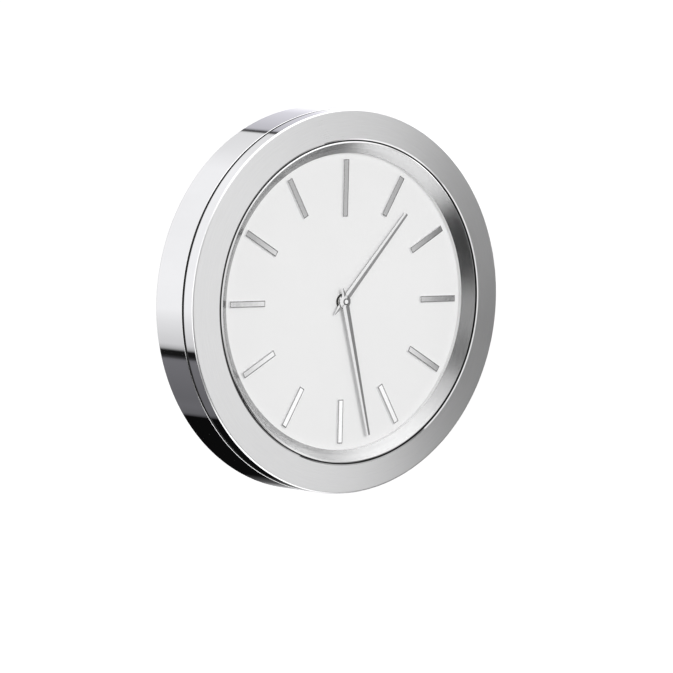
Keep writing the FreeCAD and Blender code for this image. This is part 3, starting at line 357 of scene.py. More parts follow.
def make_satin_steel():
    """The bezel's face: fine circular satin grain."""
    material, graph, shader = new_finish("satin_steel", Metallic=1.0)
    grain = graph.noise(turned_marks(graph, fine=5200.0, coarse=7.0), 1.0, roughness=0.6)
    cloud = graph.noise(place_in_clock(graph), 18.0)
    both = graph.math("MULTIPLY", graph.math("ADD", grain, cloud), 0.5)
    vary(graph, shader, "Roughness", both, 0.27, 0.33)
    tone(graph, shader, grain, grey(0.70, STEEL_TINT), grey(0.75, STEEL_TINT))
    raise_marks(graph, shader, grain, strength=0.06, distance=0.01)
    return material


def make_cone_satin():
    """The reflector cone: turned satin, which throws a fan of light."""
    material, graph, shader = new_finish("cone_satin", Metallic=1.0, Anisotropic=0.75,
                                          Anisotropic_Rotation=0.25)
    grain = graph.noise(turned_marks(graph, fine=3600.0, coarse=9.0), 1.0, detail=4.0, roughness=0.65)
    vary(graph, shader, "Roughness", grain, 0.2, 0.27)
    tone(graph, shader, grain, grey(0.39, STEEL_TINT), grey(0.46, STEEL_TINT))
    raise_marks(graph, shader, grain, strength=0.18, distance=0.012)
    tangent = graph.add("ShaderNodeTangent", direction_type="RADIAL", axis="Y")
    graph.set(shader, "Tangent", tangent.outputs[0])
    return material


def make_cut_trim():
    """Diamond-cut trim for the hour markers and the hands."""
    material, graph, shader = new_finish("cut_trim", Metallic=1.0)
    grain = graph.noise(place_in_clock(graph), 900.0, roughness=0.6)
    vary(graph, shader, "Roughness", grain, 0.07, 0.12)
    tone(graph, shader, grain, grey(0.83, STEEL_TINT), grey(0.88, STEEL_TINT))
    return material


def make_painted_shade_trim():
    """Narrow facets painted darker than the tops they border as painted shade, as on the hour
    markers; also the line above the cone's foot and the pin's rim.
    """
    material, graph, shader = new_finish("trim_edge", Metallic=1.0)
    grain = graph.noise(place_in_clock(graph), 1100.0, roughness=0.6)
    vary(graph, shader, "Roughness", grain, 0.16, 0.24)
    # Painted shade: the base colour is far darker than the trim's, to darken the surfaces it covers.
    tone(graph, shader, grain, grey(0.30, STEEL_TINT), grey(0.36, STEEL_TINT))
    return material


def make_dial_white():
    """Matt white lacquer, with the faintest orange peel."""
    material, graph, shader = new_finish("dial_white", Roughness=0.6)
    shader.inputs["Specular IOR Level"].default_value = 0.25
    cloud = graph.noise(place_in_clock(graph), 25.0)
    tone(graph, shader, cloud, grey(0.885), grey(0.90))
    peel = graph.noise(place_in_clock(graph), 1400.0, detail=2.0)
    raise_marks(graph, shader, peel, strength=0.05, distance=0.01)
    return material


def make_clear_glass():
    """Coated glass: almost nothing but a weak reflection that grows at grazing angles."""
    material = bpy.data.materials.new("clear_glass")
    material.use_nodes = True
    graph = Graph(material.node_tree)
    smear = graph.noise(place_in_clock(graph), 40.0)
    gloss = graph.add("ShaderNodeBsdfGlossy", [
        ("Color", grey(0.95)),
        ("Roughness", graph.rescale(smear, NOISE_LOW, NOISE_HIGH, 0.01, 0.03))])
    clear = graph.add("ShaderNodeBsdfTransparent", [("Color", grey(0.995))])
    edge = graph.add("ShaderNodeFresnel", [("IOR", 1.22)])
    inside = graph.add("ShaderNodeNewGeometry").outputs["Backfacing"]
    outside = graph.math("MULTIPLY", edge.outputs[0], graph.math("SUBTRACT", 1.0, inside))
    mixed = graph.add("ShaderNodeMixShader", [
        (0, outside), (1, clear.outputs[0]), (2, gloss.outputs[0])])
    graph.add("ShaderNodeOutputMaterial", [("Surface", mixed.outputs[0])])
    return material


def make_dark_moulding(name, low, high, roughness):
    """Moulded plastic or rubber: a fine eroded surface and small changes of tone."""
    material, graph, shader = new_finish(name)
    shader.inputs["Specular IOR Level"].default_value = 0.4
    grain = graph.noise(place_in_clock(graph), 1500.0, roughness=0.6)
    tone(graph, shader, grain, low, high)
    vary(graph, shader, "Roughness", grain, roughness - 0.06, roughness + 0.06)
    raise_marks(graph, shader, grain, strength=0.25, distance=0.02)
    return material


def make_plain_metal(name, low, high, roughness, scales):
    """Metal with straight or even grain: a scale for each axis sets the grain's direction."""
    material, graph, shader = new_finish(name, Metallic=1.0)
    grain = graph.noise(straight_marks(graph, scales), 1.0, detail=4.0, roughness=0.6)
    tone(graph, shader, grain, low, high)
    vary(graph, shader, "Roughness", grain, roughness - 0.05, roughness + 0.07)
    raise_marks(graph, shader, grain, strength=0.1, distance=0.01)
    return material


def make_copper_wire():
    """Enamelled wire, wound side by side along X."""
    wire = 0.12           # mm from one turn to the next
    material, graph, shader = new_finish("copper_wire", Metallic=1.0, Coat_Weight=0.6)
    across, _, _ = graph.split(place_in_clock(graph))
    turns = graph.math("SINE", graph.math("MULTIPLY", across, 2 * math.pi / (wire * MM)))
    ridge = graph.rescale(turns, -1.0, 1.0, 0.0, 1.0)
    # Painted shade: the colour darkens in the grooves between the turns and lightens on their crests.
    graph.set(shader, "Base Color", graph.mix(ridge, (0.42, 0.15, 0.06, 1), (0.74, 0.34, 0.16, 1)))
    stain = graph.noise(place_in_clock(graph), 300.0)
    vary(graph, shader, "Roughness", stain, 0.25, 0.38)
    raise_marks(graph, shader, ridge, strength=0.6, distance=0.04)
    return material


def make_battery_wrap():
    """A plain shrink-wrapped cell: a pale band at one end of a dark wrap."""
    band_start, band_blur = 13.0, 0.3     # mm to the clock's right
    material, graph, shader = new_finish("battery_wrap", Roughness=0.32, Coat_Weight=0.4)
    across, _, _ = graph.split(place_in_clock(graph))
    band = graph.rescale(across, band_start * MM, (band_start + band_blur) * MM, 0.0, 1.0)
    speck = graph.noise(place_in_clock(graph), 600.0)
    dark = graph.mix(speck, (0.035, 0.04, 0.05, 1), (0.05, 0.055, 0.07, 1))
    pale = graph.mix(speck, (0.55, 0.48, 0.34, 1), (0.62, 0.55, 0.40, 1))
    graph.set(shader, "Base Color", graph.mix(band, dark, pale))
    return material


FINISHES = {
    "polished_steel": make_mirror_steel(),
    "satin_steel": make_satin_steel(),
    "cone_satin": make_cone_satin(),
    "polished_trim": make_cut_trim(),
    "trim_edge": make_painted_shade_trim(),
    "dial_white": make_dial_white(),
    "clear_glass": make_clear_glass(),
    "black_rubber": make_dark_moulding("black_rubber", grey(0.006), grey(0.012), 0.75),
    "clamp_plastic": make_dark_moulding("clamp_plastic", grey(0.018), grey(0.028), 0.5),
    "housing_plastic": make_dark_moulding("housing_plastic", grey(0.015), grey(0.024), 0.48),
    "wheel_plastic": make_dark_moulding(
        "wheel_plastic", (0.68, 0.66, 0.58, 1), (0.74, 0.72, 0.64, 1), 0.38),
    "knob_plastic": make_dark_moulding(
        "knob_plastic", (0.34, 0.02, 0.015, 1), (0.42, 0.03, 0.02, 1), 0.4),
    "circuit_green": make_dark_moulding(
        "circuit_green", (0.01, 0.09, 0.03, 1), (0.015, 0.12, 0.045, 1), 0.35),
    "zinc_steel": make_plain_metal(
        "zinc_steel", grey(0.50, (1.0, 1.0, 1.02)), grey(0.60, (1.0, 1.0, 1.03)), 0.3,
        (350.0, 350.0, 350.0)),
    "plate_steel": make_plain_metal(
        "plate_steel", grey(0.54, STEEL_TINT), grey(0.66, STEEL_TINT), 0.3,
        (60.0, 2500.0, 2500.0)),
    "silicon_iron": make_plain_metal(
        "silicon_iron", grey(0.30), grey(0.38), 0.4, (900.0, 900.0, 60.0)),
    "brass": make_plain_metal(
        "brass", (0.66, 0.47, 0.18, 1), (0.76, 0.56, 0.24, 1), 0.25, (500.0, 4000.0, 500.0)),
    "copper_wire": make_copper_wire(),
    "battery_wrap": make_battery_wrap(),
}


def finish_cad_nodes():
    """Gives every CAD node the finish of its slot. The wall plate has a straight grain."""
    for name, node in NODES.items():
        slot_name = node.data.materials[0].name.split(".")[0]
        material = FINISHES[slot_name]
        if name == "mounting_plate":
            material = FINISHES["plate_steel"]
        for index in range(len(node.data.materials)):
            node.data.materials[index] = material


# ---- turned pieces -----------------------------------------------------------------


def make_drum():
    """The polished drum, with a rounded edge beside the seam and its wall in the seam painted black
    as painted shadow.
    """
    painted_gap_shadow = 1
    rim_round, inner_rim_round, edge_round = 0.8, 0.3, 0.2
    inner_wall = radius("case_body", RIM, min)
    spigot_end = front("case_body")
    spigot_out = radius("case_body", spigot_end, max)
    spigot_in = radius("case_body", spigot_end, min)
    floor_rear = level("case_body", 0.0, inner_wall - 1.0, min)
    opening = radius("case_body", floor_rear, min)
    floor_front = level("case_body", 0.0, opening + 0.1, max)
    spigot_lap, spigot_root = 1.5, 4.0    # mm behind the seam
    mesh = lathe("drum_shell", profile([
        (opening, floor_rear),
        (inner_wall, floor_rear),
        (inner_wall, RIM, inner_rim_round),
        (DRUM, RIM, rim_round),
        (DRUM, SEAM_REAR, edge_round),
        (spigot_out, SEAM_REAR),
        (spigot_out, spigot_end),
        (spigot_in, spigot_end),
        (spigot_in, SEAM_REAR - spigot_lap),
        (inner_wall, SEAM_REAR - spigot_root),
        (inner_wall, floor_front),
        (opening, floor_front),
    ]))
    # Painted shadow: the drum's wall in the seam gets the black finish.
    for polygon in mesh.polygons:
        if abs(-polygon.center.y / MM - SEAM_REAR) < CLOSE:
            polygon.material_index = painted_gap_shadow
    add_piece("drum_shell", mesh, "case",
              [FINISHES["polished_steel"], FINISHES["black_rubber"]], ["case_body"])


def make_seal_ring():
    """The black seal in the seam between the drum and the bezel."""
    inner = radius("seam_seal", SEAM_REAR, min)
    mesh = lathe("seam_ring", profile([
        (inner, SEAM_REAR), (SEAL_RADIUS, SEAM_REAR),
        (SEAL_RADIUS, SEAM_FRONT), (inner, SEAM_FRONT)]))
    add_piece("seam_ring", mesh, "case", [FINISHES["black_rubber"]],
              ["seam_seal"])


def make_bezel_ring():
    """The bezel: polished side, a satin face that rises towards the glass, and the walls of its gaps
    painted black as painted shadow.
    """
    polish, satin, painted_gap_shadow = 0, 1, 2
    face_round, edge_round, bevel_round, lip_round = 1.1, 0.45, 0.08, 0.05
    face_rise = 2.8
    bevel_outer = radius("bezel", DEPTH, min)
    lip = min(reach for reach, _ in corners_of("bezel"))
    bevel_out = level("bezel", 0.0, lip + CAD_CLOSE, max)
    shoulder = level("bezel", 0.0, lip + CAD_CLOSE, min)
    pocket = radius("bezel", shoulder, max)
    ledge = level("bezel", 0.0, pocket + CAD_CLOSE, min)
    skirt = radius("bezel", SEAM_FRONT, min)
    # Painted shadow: the wall by the seam and the lip's inner wall get the black finish.
    mesh = lathe("bezel_ring", profile([
        (skirt, SEAM_FRONT, BROKEN_EDGE, painted_gap_shadow),
        (DRUM, SEAM_FRONT, edge_round, polish),
        (DRUM, DEPTH - face_rise, face_round, polish),
        (bevel_outer, DEPTH, bevel_round, polish),
        (lip, bevel_out, lip_round, painted_gap_shadow),
        (lip, shoulder, BROKEN_EDGE, polish),
        (pocket, shoulder, BROKEN_EDGE, polish),
        (pocket, ledge, BROKEN_EDGE, polish),
        (skirt, ledge, BROKEN_EDGE, polish),
    ]))
    satin_from = DEPTH - face_rise - face_round * 0.6
    satin_beyond = bevel_outer + 0.05
    for polygon in mesh.polygons:
        reach = math.hypot(polygon.center.x, polygon.center.z) / MM
        out = -polygon.center.y / MM
        if reach > satin_beyond and out > satin_from:
            polygon.material_index = satin
        # Painted shadow: the rounded rear edge by the seam is black too, which widens the seam's dark
        # line.
        elif out < SEAM_FRONT + edge_round:
            polygon.material_index = painted_gap_shadow
    add_piece("bezel_ring", mesh, "case",
              [FINISHES["polished_steel"], FINISHES["satin_steel"], FINISHES["black_rubber"]],
              ["bezel"])


def make_reflector():
    """The satin cone between the glass and the dial, with a polished lip at its mouth.

    The wall between the lip and the bezel is painted black as painted shadow in the gap. The cone's
    foot is white lacquer like the dial as a painted reflection of the dial, with a thin line above it
    painted dark as painted shade."""
    polish, satin, painted_gap_shadow, painted_dial_reflection, painted_trim_shade = 0, 1, 2, 3, 4
    foot_line, gap, lip_round = 0.12, 0.25, 0.06
    top = front("reflector_ring")
    mouth = radius("reflector_ring", top, min)
    mouth_flat = radius("reflector_ring", top, max)
    foot = radius("reflector_ring", DIAL_FRONT, min)
    flange = radius("reflector_ring", DIAL_FRONT, max)
    shoulder = level("reflector_ring", flange - CAD_CLOSE, math.inf, max)
    neck = radius("reflector_ring", shoulder, lambda found: min(r for r in found if r > mouth))
    lip_out = level("reflector_ring", neck - CAD_CLOSE, neck + CAD_CLOSE, max)
    foot_out = level("reflector_ring", 0.0, foot + CAD_CLOSE, max)
    lip_edge = neck - gap
    # Painted shadow: the wall between the lip and the bezel is black. Painted shade: the thin line
    # above the foot is dark trim. Painted reflection: the foot is white like the dial.
    mesh = lathe("reflector_cone", profile([
        (foot, DIAL_FRONT, BROKEN_EDGE, polish),
        (flange, DIAL_FRONT, BROKEN_EDGE, polish),
        (flange, shoulder, BROKEN_EDGE, polish),
        (lip_edge, shoulder, BROKEN_EDGE, painted_gap_shadow),
        (lip_edge, lip_out, lip_round, polish),
        (mouth_flat, top, lip_round, polish),
        (mouth, top, lip_round, satin),
        (foot + foot_line, foot_out + foot_line, BROKEN_EDGE, painted_trim_shade),
        (foot, foot_out, BROKEN_EDGE, painted_dial_reflection),
    ]))
    add_piece("reflector_cone", mesh, "case",
              [FINISHES["polished_steel"], FINISHES["cone_satin"], FINISHES["black_rubber"],
               FINISHES["dial_white"], FINISHES["trim_edge"]], ["reflector_ring"])


def make_glass():
    """The bevelled glass in the mouth of the cone."""
    back_out, front_out = rear("crystal"), front("crystal")
    back_round, front_round = 0.08, 0.15
    mesh = lathe("crystal_disc", profile([
        (0.0, back_out),
        (radius("crystal", back_out, max), back_out, back_round),
        (radius("crystal", front_out, max), front_out, front_round),
        (0.0, front_out),
    ]), closed=False)
    add_piece("crystal_disc", mesh, "case", [FINISHES["clear_glass"]],
              ["crystal"])


def make_dial_plate():
    """The plain white dial."""
    bore = radius("dial", DIAL_FRONT, min)
    rim = radius("dial", DIAL_FRONT, max)
    mesh = lathe("dial_plate", profile([
        (bore, DIAL_REAR), (rim, DIAL_REAR), (rim, DIAL_FRONT), (bore, DIAL_FRONT)]))
    add_piece("dial_plate", mesh, "case", [FINISHES["dial_white"]], ["dial"])


def make_cap():
    """The polished pin in the middle of the hands, with a sloping rim painted dark as painted shade.
    """
    painted_trim_shade = 1
    low, high = rear("hand_cap"), front("hand_cap")
    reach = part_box("hand_cap")[1].x / MM
    rim, rim_drop = 0.35, 0.15
    # Painted shade: the sloping rim gets the dark trim finish.
    mesh = lathe("centre_pin", profile([
        (0.0, low), (reach, low), (reach, high - rim_drop, BROKEN_EDGE, painted_trim_shade),
        (reach - rim, high), (0.0, high)]), closed=False)
    add_piece("centre_pin", mesh, "minutes",
              [FINISHES["polished_trim"], FINISHES["trim_edge"]], ["hand_cap"])


# ---- markers and hands -------------------------------------------------------------


def loft(name, sections, turn):
    """A faceted mesh through closed sections of points in mm, turned to a clock angle."""
    mesh = bpy.data.meshes.new(name)
    shape = bmesh.new()
    spin = Matrix.Rotation(turn, 3, "Y")
    rings = [[shape.verts.new(spin @ Vector((across, -out, up)) * MM)
              for across, out, up in section] for section in sections]
    for low, high in zip(rings, rings[1:]):
        for index in range(len(low)):
            after = (index + 1) % len(low)
            shape.faces.new((low[index], low[after], high[after], high[index]))
    shape.faces.new(rings[0][::-1])
    shape.faces.new(rings[-1])
    bmesh.ops.recalc_face_normals(shape, faces=shape.faces)
    shape.to_mesh(mesh)
    shape.free()
    return mesh


MARKER_FACET = 0.45   # mm across a marker's sloping facet
MARKER_SLOPE = 0.16   # mm that the facet drops


def make_marker(number):
    """An applied baton with sloping facets round its polished top, painted dark as painted shade.

    A marker's box fits it closely at 12 and at 3 only, so the sizes come from those two."""
    polish, painted_trim_shade = 0, 1
    name = f"hour_marker_{number:02d}"
    noon_low, noon_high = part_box("hour_marker_12")
    width, outer = (noon_high.x - noon_low.x) / MM, noon_high.z / MM
    inner = noon_low.z / MM if number == 12 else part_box("hour_marker_03")[0].x / MM
    low, high = rear(name), front(name)
    half = width / 2

    def section(inset, out):
        side, near, far = half - inset, inner + inset, outer - inset
        return [(-side, out, near), (side, out, near), (side, out, far), (-side, out, far)]

    mesh = loft(f"baton_{number:02d}", [
        section(0.0, low), section(0.0, high - MARKER_SLOPE), section(MARKER_FACET, high)],
        math.radians(30 * number))
    piece = add_piece(f"baton_{number:02d}", mesh, "case",
                      [FINISHES["polished_trim"], FINISHES["trim_edge"]], [name])
    # Painted shade: the sloping facets get the dark trim finish.
    for polygon in mesh.polygons:
        out = -polygon.center.y / MM
        on_facet = high - MARKER_SLOPE < out < high - BROKEN_EDGE
        polygon.material_index = painted_trim_shade if on_facet else polish
    soften(piece)


# Hand sizes in mm: reach, root width, tip width, ridge height, tail, clock angle in degrees,
# and the side its ridge leans to, + being clockwise.
HANDS = {
    "hour": (54.2, 3.4, 2.1, 0.58, 8.2, 41.6, -1),
    "minute": (65.0, 3.9, 1.95, 0.62, 6.6, 166.0, 1),
}
RIDGE_LEAN = 0.13     # of the hand's width, from its middle
HAND_EDGE = 0.15      # the height of a hand's upright edge
TAIL_TIP = 0.6        # the width of the tail's end
HUB_RADIUS = 3.1
HUB_THICKNESS = 0.72
HUB_EDGE = 0.2        # the height of the hub's upright edge
PIN_GAP = 0.2         # the width of the black ring painted round the pin as painted shade in its gap


def make_hand(kind):
    """A ridged hand with a pointed tail, and its round hub, a low cone whose top round the pin is
    painted black as painted shade.
    """
    dark = 1
    reach, root, tip, ridge, tail, angle, lean = HANDS[kind]
    node = f"{kind}_hand"
    out = rear(node)
    slope = (ridge - HAND_EDGE) / root

    def section(width, up):
        half = width / 2
        return [(-half, out, up), (half, out, up), (half, out + HAND_EDGE, up),
                (lean * RIDGE_LEAN * width, out + HAND_EDGE + slope * width, up),
                (-half, out + HAND_EDGE, up)]

    mesh = loft(f"{kind}_blade", [section(TAIL_TIP, -tail), section(root, 0.0),
                                  section(tip, reach)], math.radians(angle))
    hub_top = out + HUB_THICKNESS
    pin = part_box("hand_cap")[1].x / MM
    # Painted shade: the hub's top round the pin is black.
    hub_mesh = lathe(f"{kind}_hub", profile([
        (0.0, out), (HUB_RADIUS, out), (HUB_RADIUS, out + HUB_EDGE),
        (pin + PIN_GAP, hub_top, BROKEN_EDGE, dark), (0.0, hub_top)]), closed=False)
    piece = add_piece(f"{kind}_blade", mesh, f"{kind}s",
                      [FINISHES["polished_trim"]], [node])
    soften(piece)
    add_piece(f"{kind}_hub", hub_mesh, f"{kind}s",
              [FINISHES["polished_trim"], FINISHES["black_rubber"]], [])


# ---- studio ------------------------------------------------------------------------

# The camera stands far off to the reader's left and a little above, with a long lens.
AZIMUTH = math.radians(-37.95)
ELEVATION = math.radians(4.15)
ROLL = math.radians(1.41)
DISTANCE = 5.0                    # metres from the clock
SENSOR = 36.0                     # mm across
FRAME_WIDTH = 0.3158              # metres across the picture at the clock's axis
# The wall face's centre in the picture, from the picture's centre: right and up, in metres.
ORIGIN_RIGHT, ORIGIN_UP = -0.0133, 0.0183
CLIP_END = 100.0
TOWARDS_CAMERA = Vector((math.sin(AZIMUTH) * math.cos(ELEVATION),
                         -math.cos(AZIMUTH) * math.cos(ELEVATION), math.sin(ELEVATION)))


def make_camera():
    """The camera, turned by its roll about the line of sight."""
    back = TOWARDS_CAMERA
    flat = Vector((math.cos(AZIMUTH), math.sin(AZIMUTH), 0.0))
    upright = back.cross(flat)
    right = flat * math.cos(ROLL) + upright * math.sin(ROLL)
    up = upright * math.cos(ROLL) - flat * math.sin(ROLL)
    target = -right * ORIGIN_RIGHT - up * ORIGIN_UP
    camera = bpy.data.objects.new("camera", bpy.data.cameras.new("camera"))
    camera.data.sensor_width = SENSOR
    camera.data.lens = SENSOR * DISTANCE / FRAME_WIDTH
    camera.data.clip_end = CLIP_END
    turned = Matrix((right, up, back)).transposed().to_4x4()
    camera.matrix_world = Matrix.Translation(target + back * DISTANCE) @ turned
    bpy.context.scene.collection.objects.link(camera)
    bpy.context.scene.camera = camera


# What polished sides mirror from behind the clock: brightness by the angle around the axis,
# in degrees from +X towards +Z. Pale panels with black flags between them.
VIOLET = (1.01, 1.0, 1.08)
NEUTRAL = (1.0, 1.0, 1.015)
BACK_PANELS = [
    (0, 1.0, NEUTRAL), (12, 1.12, NEUTRAL), (19, 1.1, NEUTRAL), (25, 0.93, VIOLET),
    (32, 0.78, VIOLET), (48, 0.68, VIOLET), (58.6, 0.58, VIOLET), (60.7, 0.02, NEUTRAL),
    (61.8, 0.02, NEUTRAL), (63.4, 0.84, NEUTRAL), (82, 0.91, NEUTRAL), (98, 1.04, NEUTRAL),
    (190, 1.04, NEUTRAL), (197, 0.9, NEUTRAL), (211, 0.72, NEUTRAL), (213.6, 0.5, NEUTRAL),
    (214.8, 0.01, NEUTRAL), (219, 0.01, NEUTRAL), (221, 0.185, VIOLET), (246, 0.15, VIOLET),
    (252, 0.16, VIOLET), (258, 0.135, VIOLET), (260, 0.004, NEUTRAL), (318, 0.004, NEUTRAL),
    (331, 0.1, NEUTRAL), (341, 0.42, NEUTRAL), (352, 0.8, NEUTRAL),
]
# What faces the clock, level with it: brightness by the bearing in degrees from straight
# ahead, + to +X. There's a pale strip far to the left and a black flag to the right.
FRONT_PANELS = [
    (-180, 0.85), (-122, 0.9), (-116, 2.2), (-96, 2.2), (-86, 0.9), (-64, 0.8), (-56, 0.6),
    (-33, 0.6), (-24, 0.85), (-10, 0.95), (15, 0.99), (34, 1.16), (45, 0.76), (60, 0.2),
    (80, 0.08), (150, 0.08), (180, 0.8),
]
# The same from straight down (-1) to straight up (1), where level panels give way.
FLOOR_PANELS = [(-1.0, 1.9), (-0.92, 1.95), (-0.86, 2.1), (-0.78, 1.25), (-0.72, 0.45),
                (-0.65, 0.12), (-0.6, 0.08), (-0.4, 0.08)]
CEILING_PANELS = [(0.40, 0.9), (0.53, 1.1), (0.66, 1.4), (0.755, 1.9), (0.84, 2.5), (1.0, 2.5)]
# Round cards in front of the rest: direction, half-width in degrees, brightness.
ROUND_CARDS = [
    ((-0.53, -0.70, -0.47), 18.0, 0.035),
    ((-0.56, -0.74, 0.37), 10.0, 0.3),
    ((0.93, 0.12, 0.34), 20.0, 2.5),
    ((0.76, 0.04, -0.65), 13.0, 0.4),
    ((0.58, -0.74, 0.34), 14.0, 0.85),
    ((0.55, -0.71, -0.44), 13.0, 1.0),
]
REAR_LEVEL = 0.7                  # straight behind the clock
DIFFUSE_LEVEL = 0.59              # the even light that matt surfaces get
BACKDROP_LEVEL = 1.0              # what the camera sees beyond the floor
PANEL_SCALE = 2.5                 # ramps hold 0 to 1, so levels are divided and restored
# Where one part of the tent gives way to the next, as the start and the end of the fade:
# by the height of the direction (-1 to 1), and by how far it points behind the clock (-1 to 1).
CEILING_FADE = (0.42, 0.54)
GROUND_FADE = (-0.43, -0.54)
SIDE_FADE = (0.42, 0.68)
REAR_FADE = (0.82, 0.9)
CARD_FADE = (1.4, 0.6)            # of a round card's half-width


def make_world():
    """A light tent. Glossy surfaces mirror its panels, and matt ones get an even light."""
    world = bpy.data.worlds.new("light_tent")
    bpy.context.scene.world = world
    world.use_nodes = True
    world.cycles.sampling_method = "NONE"
    graph = Graph(world.node_tree)
    direction = graph.add("ShaderNodeTexCoord").outputs["Generated"]
    across, ahead, up = graph.split(direction)

    def panel(brightness, tint=(1.0, 1.0, 1.0)):
        return tuple(brightness / PANEL_SCALE * part for part in tint)

    def around(angle, start, stops):
        place = graph.math("DIVIDE", graph.math("SUBTRACT", angle, math.radians(start)),
                           2 * math.pi)
        return graph.ramp(graph.math("FRACT", place), [
            ((stop[0] - start) / 360, panel(*stop[1:])) for stop in stops])

    def height(stops):
        return graph.ramp(graph.rescale(up, -1.0, 1.0, 0.0, 1.0), [
            ((place + 1) / 2, panel(brightness)) for place, brightness in stops])

    def fade(value, ends):
        return graph.rescale(value, *ends, 0.0, 1.0, smooth=True)

    behind = around(graph.math("ARCTAN2", up, across), 0.0, BACK_PANELS)
    bearing = graph.math("ARCTAN2", across, graph.math("MULTIPLY", ahead, -1.0))
    facing = around(bearing, -180.0, FRONT_PANELS)
    facing = graph.mix(fade(up, CEILING_FADE), facing, height(CEILING_PANELS))
    facing = graph.mix(fade(up, GROUND_FADE), facing, height(FLOOR_PANELS))
    for middle, spread, brightness in ROUND_CARDS:
        near = graph.add("ShaderNodeVectorMath", [
            (0, direction), (1, Vector(middle).normalized())],
            operation="DOT_PRODUCT").outputs["Value"]
        ends = [math.cos(math.radians(spread * share)) for share in CARD_FADE]
        facing = graph.mix(fade(near, ends), facing, (*panel(brightness), 1.0))
    tent = graph.mix(fade(ahead, SIDE_FADE), facing, behind)
    tent = graph.mix(fade(ahead, REAR_FADE), tent, (*panel(REAR_LEVEL), 1.0))

    def light(colour, strength):
        return graph.add("ShaderNodeBackground", [
            ("Color", colour), ("Strength", strength)]).outputs[0]

    rays = graph.add("ShaderNodeLightPath").outputs
    even = graph.add("ShaderNodeMixShader", [
        (0, rays["Is Glossy Ray"]), (1, light(grey(1.0), DIFFUSE_LEVEL)),
        (2, light(tent, PANEL_SCALE))])
    seen = graph.add("ShaderNodeMixShader", [
        (0, rays["Is Camera Ray"]), (1, even.outputs[0]),
        (2, light(grey(1.0), BACKDROP_LEVEL))])
    graph.add("ShaderNodeOutputWorld", [("Surface", seen.outputs[0])])


CARD_DISTANCE = 0.3               # metres from the dial
CARD_HALF = (0.060, 0.078)        # half of its width and of its height
# Brightness across the card, left to right and bottom to top, in metres from its middle.
CARD_ACROSS = [(-0.053, 0.55), (-0.044, 0.75), (-0.035, 1.0), (0.022, 1.0), (0.031, 0.82),
               (0.039, 0.62), (0.047, 0.36), (0.053, 0.2)]
CARD_UP = [(-0.068, 1.0), (-0.03, 0.98), (0.0, 0.9), (0.02, 0.8), (0.03, 0.62),
           (0.045, 0.46), (0.07, 0.44)]
CARD_SCALE = 1.2                  # ramps hold 0 to 1, and this is the card's full brightness


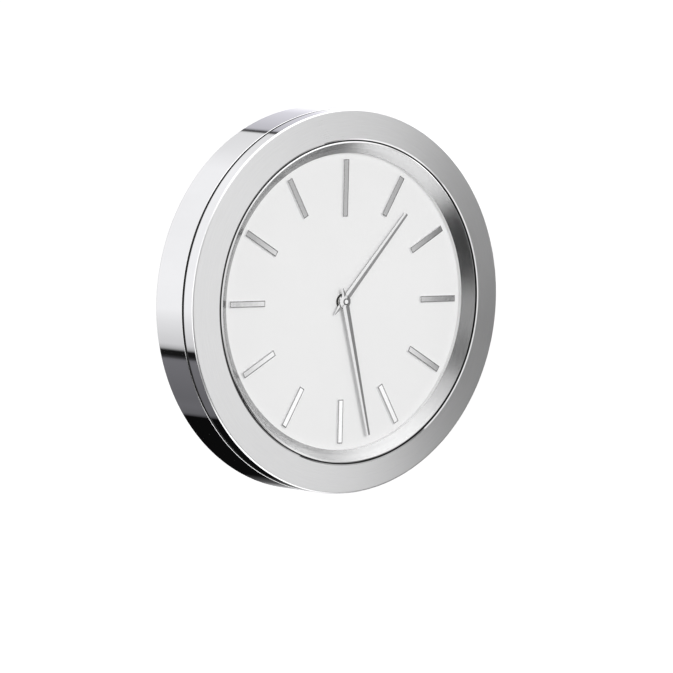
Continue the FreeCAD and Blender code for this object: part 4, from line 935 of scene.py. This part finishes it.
def make_card():
    """A graded card that the flat tops of the hour markers mirror towards the reader."""
    mirrored = Vector((-TOWARDS_CAMERA.x, TOWARDS_CAMERA.y, -TOWARDS_CAMERA.z))
    flat = Vector((0, 0, 1)).cross(mirrored).normalized()
    upright = mirrored.cross(flat)
    wide, high = CARD_HALF
    mesh = bpy.data.meshes.new("marker_card")
    mesh.from_pydata([(-wide, -high, 0), (wide, -high, 0), (wide, high, 0), (-wide, high, 0)],
                     [], [(0, 1, 2, 3)])
    material = bpy.data.materials.new("graded_card")
    material.use_nodes = True
    graph = Graph(material.node_tree)
    across, up, _ = graph.split(place_in_clock(graph))

    def grade(value, half, stops):
        return graph.ramp(graph.rescale(value, -half, half, 0.0, 1.0), [
            ((place + half) / (2 * half), brightness) for place, brightness in stops])

    both = graph.add("ShaderNodeMix", [
        (0, 1.0), (6, grade(across, wide, CARD_ACROSS)), (7, grade(up, high, CARD_UP))],
        data_type="RGBA", blend_type="MULTIPLY").outputs[2]
    glow = graph.add("ShaderNodeEmission", [("Color", both), ("Strength", CARD_SCALE)])
    graph.add("ShaderNodeOutputMaterial", [("Surface", glow.outputs[0])])
    mesh.materials.append(material)
    card = bpy.data.objects.new("marker_card", mesh)
    turned = Matrix((flat, upright, mirrored)).transposed().to_4x4()
    dial_middle = Vector((0, -DIAL_FRONT * MM, 0))
    card.matrix_world = Matrix.Translation(dial_middle + mirrored * CARD_DISTANCE) @ turned
    for ray in ("camera", "diffuse", "shadow", "transmission", "volume_scatter"):
        setattr(card, f"visible_{ray}", False)
    bpy.context.scene.collection.objects.link(card)


KEY_PLACE = Vector((0.05, -1.35, 0.35))
KEY_SIZE = 0.9        # metres across
KEY_POWER = 8.0       # watts


def make_key_lamp():
    """A soft lamp that points at the clock and doesn't show in its polish."""
    data = bpy.data.lights.new("key_lamp", "AREA")
    data.shape = "DISK"
    data.size = KEY_SIZE
    data.energy = KEY_POWER
    lamp = bpy.data.objects.new("key_lamp", data)
    lamp.location = KEY_PLACE
    lamp.rotation_euler = (-KEY_PLACE).to_track_quat("-Z", "Y").to_euler()
    lamp.visible_glossy = False
    lamp.visible_camera = False
    bpy.context.scene.collection.objects.link(lamp)


FLOOR_DROP = 0.22     # metres below the clock's axis
FLOOR_RADIUS = 12.0
FLOOR_SIDES = 96
FLOOR_GLOW = 0.45


def make_floor():
    """A plain pale floor below the clock, which hangs on a bulkhead."""
    mesh = bpy.data.meshes.new("floor")
    shape = bmesh.new()
    bmesh.ops.create_circle(shape, cap_ends=True, radius=FLOOR_RADIUS, segments=FLOOR_SIDES)
    shape.to_mesh(mesh)
    shape.free()
    material, graph, shader = new_finish("floor_paper", Roughness=0.9)
    cloud = graph.noise(place_in_clock(graph), 3.0, detail=2.0)
    tone(graph, shader, cloud, grey(0.90), grey(0.92))
    shader.inputs["Emission Color"].default_value = grey(1.0)
    shader.inputs["Emission Strength"].default_value = FLOOR_GLOW
    mesh.materials.append(material)
    floor = bpy.data.objects.new("floor", mesh)
    floor.location.z = -FLOOR_DROP
    floor.visible_glossy = False
    floor.visible_diffuse = False
    bpy.context.scene.collection.objects.link(floor)


# ---- the scene ---------------------------------------------------------------------

finish_cad_nodes()
make_drum()
make_seal_ring()
make_bezel_ring()
make_reflector()
make_glass()
make_dial_plate()
make_cap()
for hour in range(1, 13):
    make_marker(hour)
make_hand("hour")
make_hand("minute")
make_camera()
make_world()
make_key_lamp()
make_card()
make_floor()
bpy.context.scene.view_settings.view_transform = "Standard"
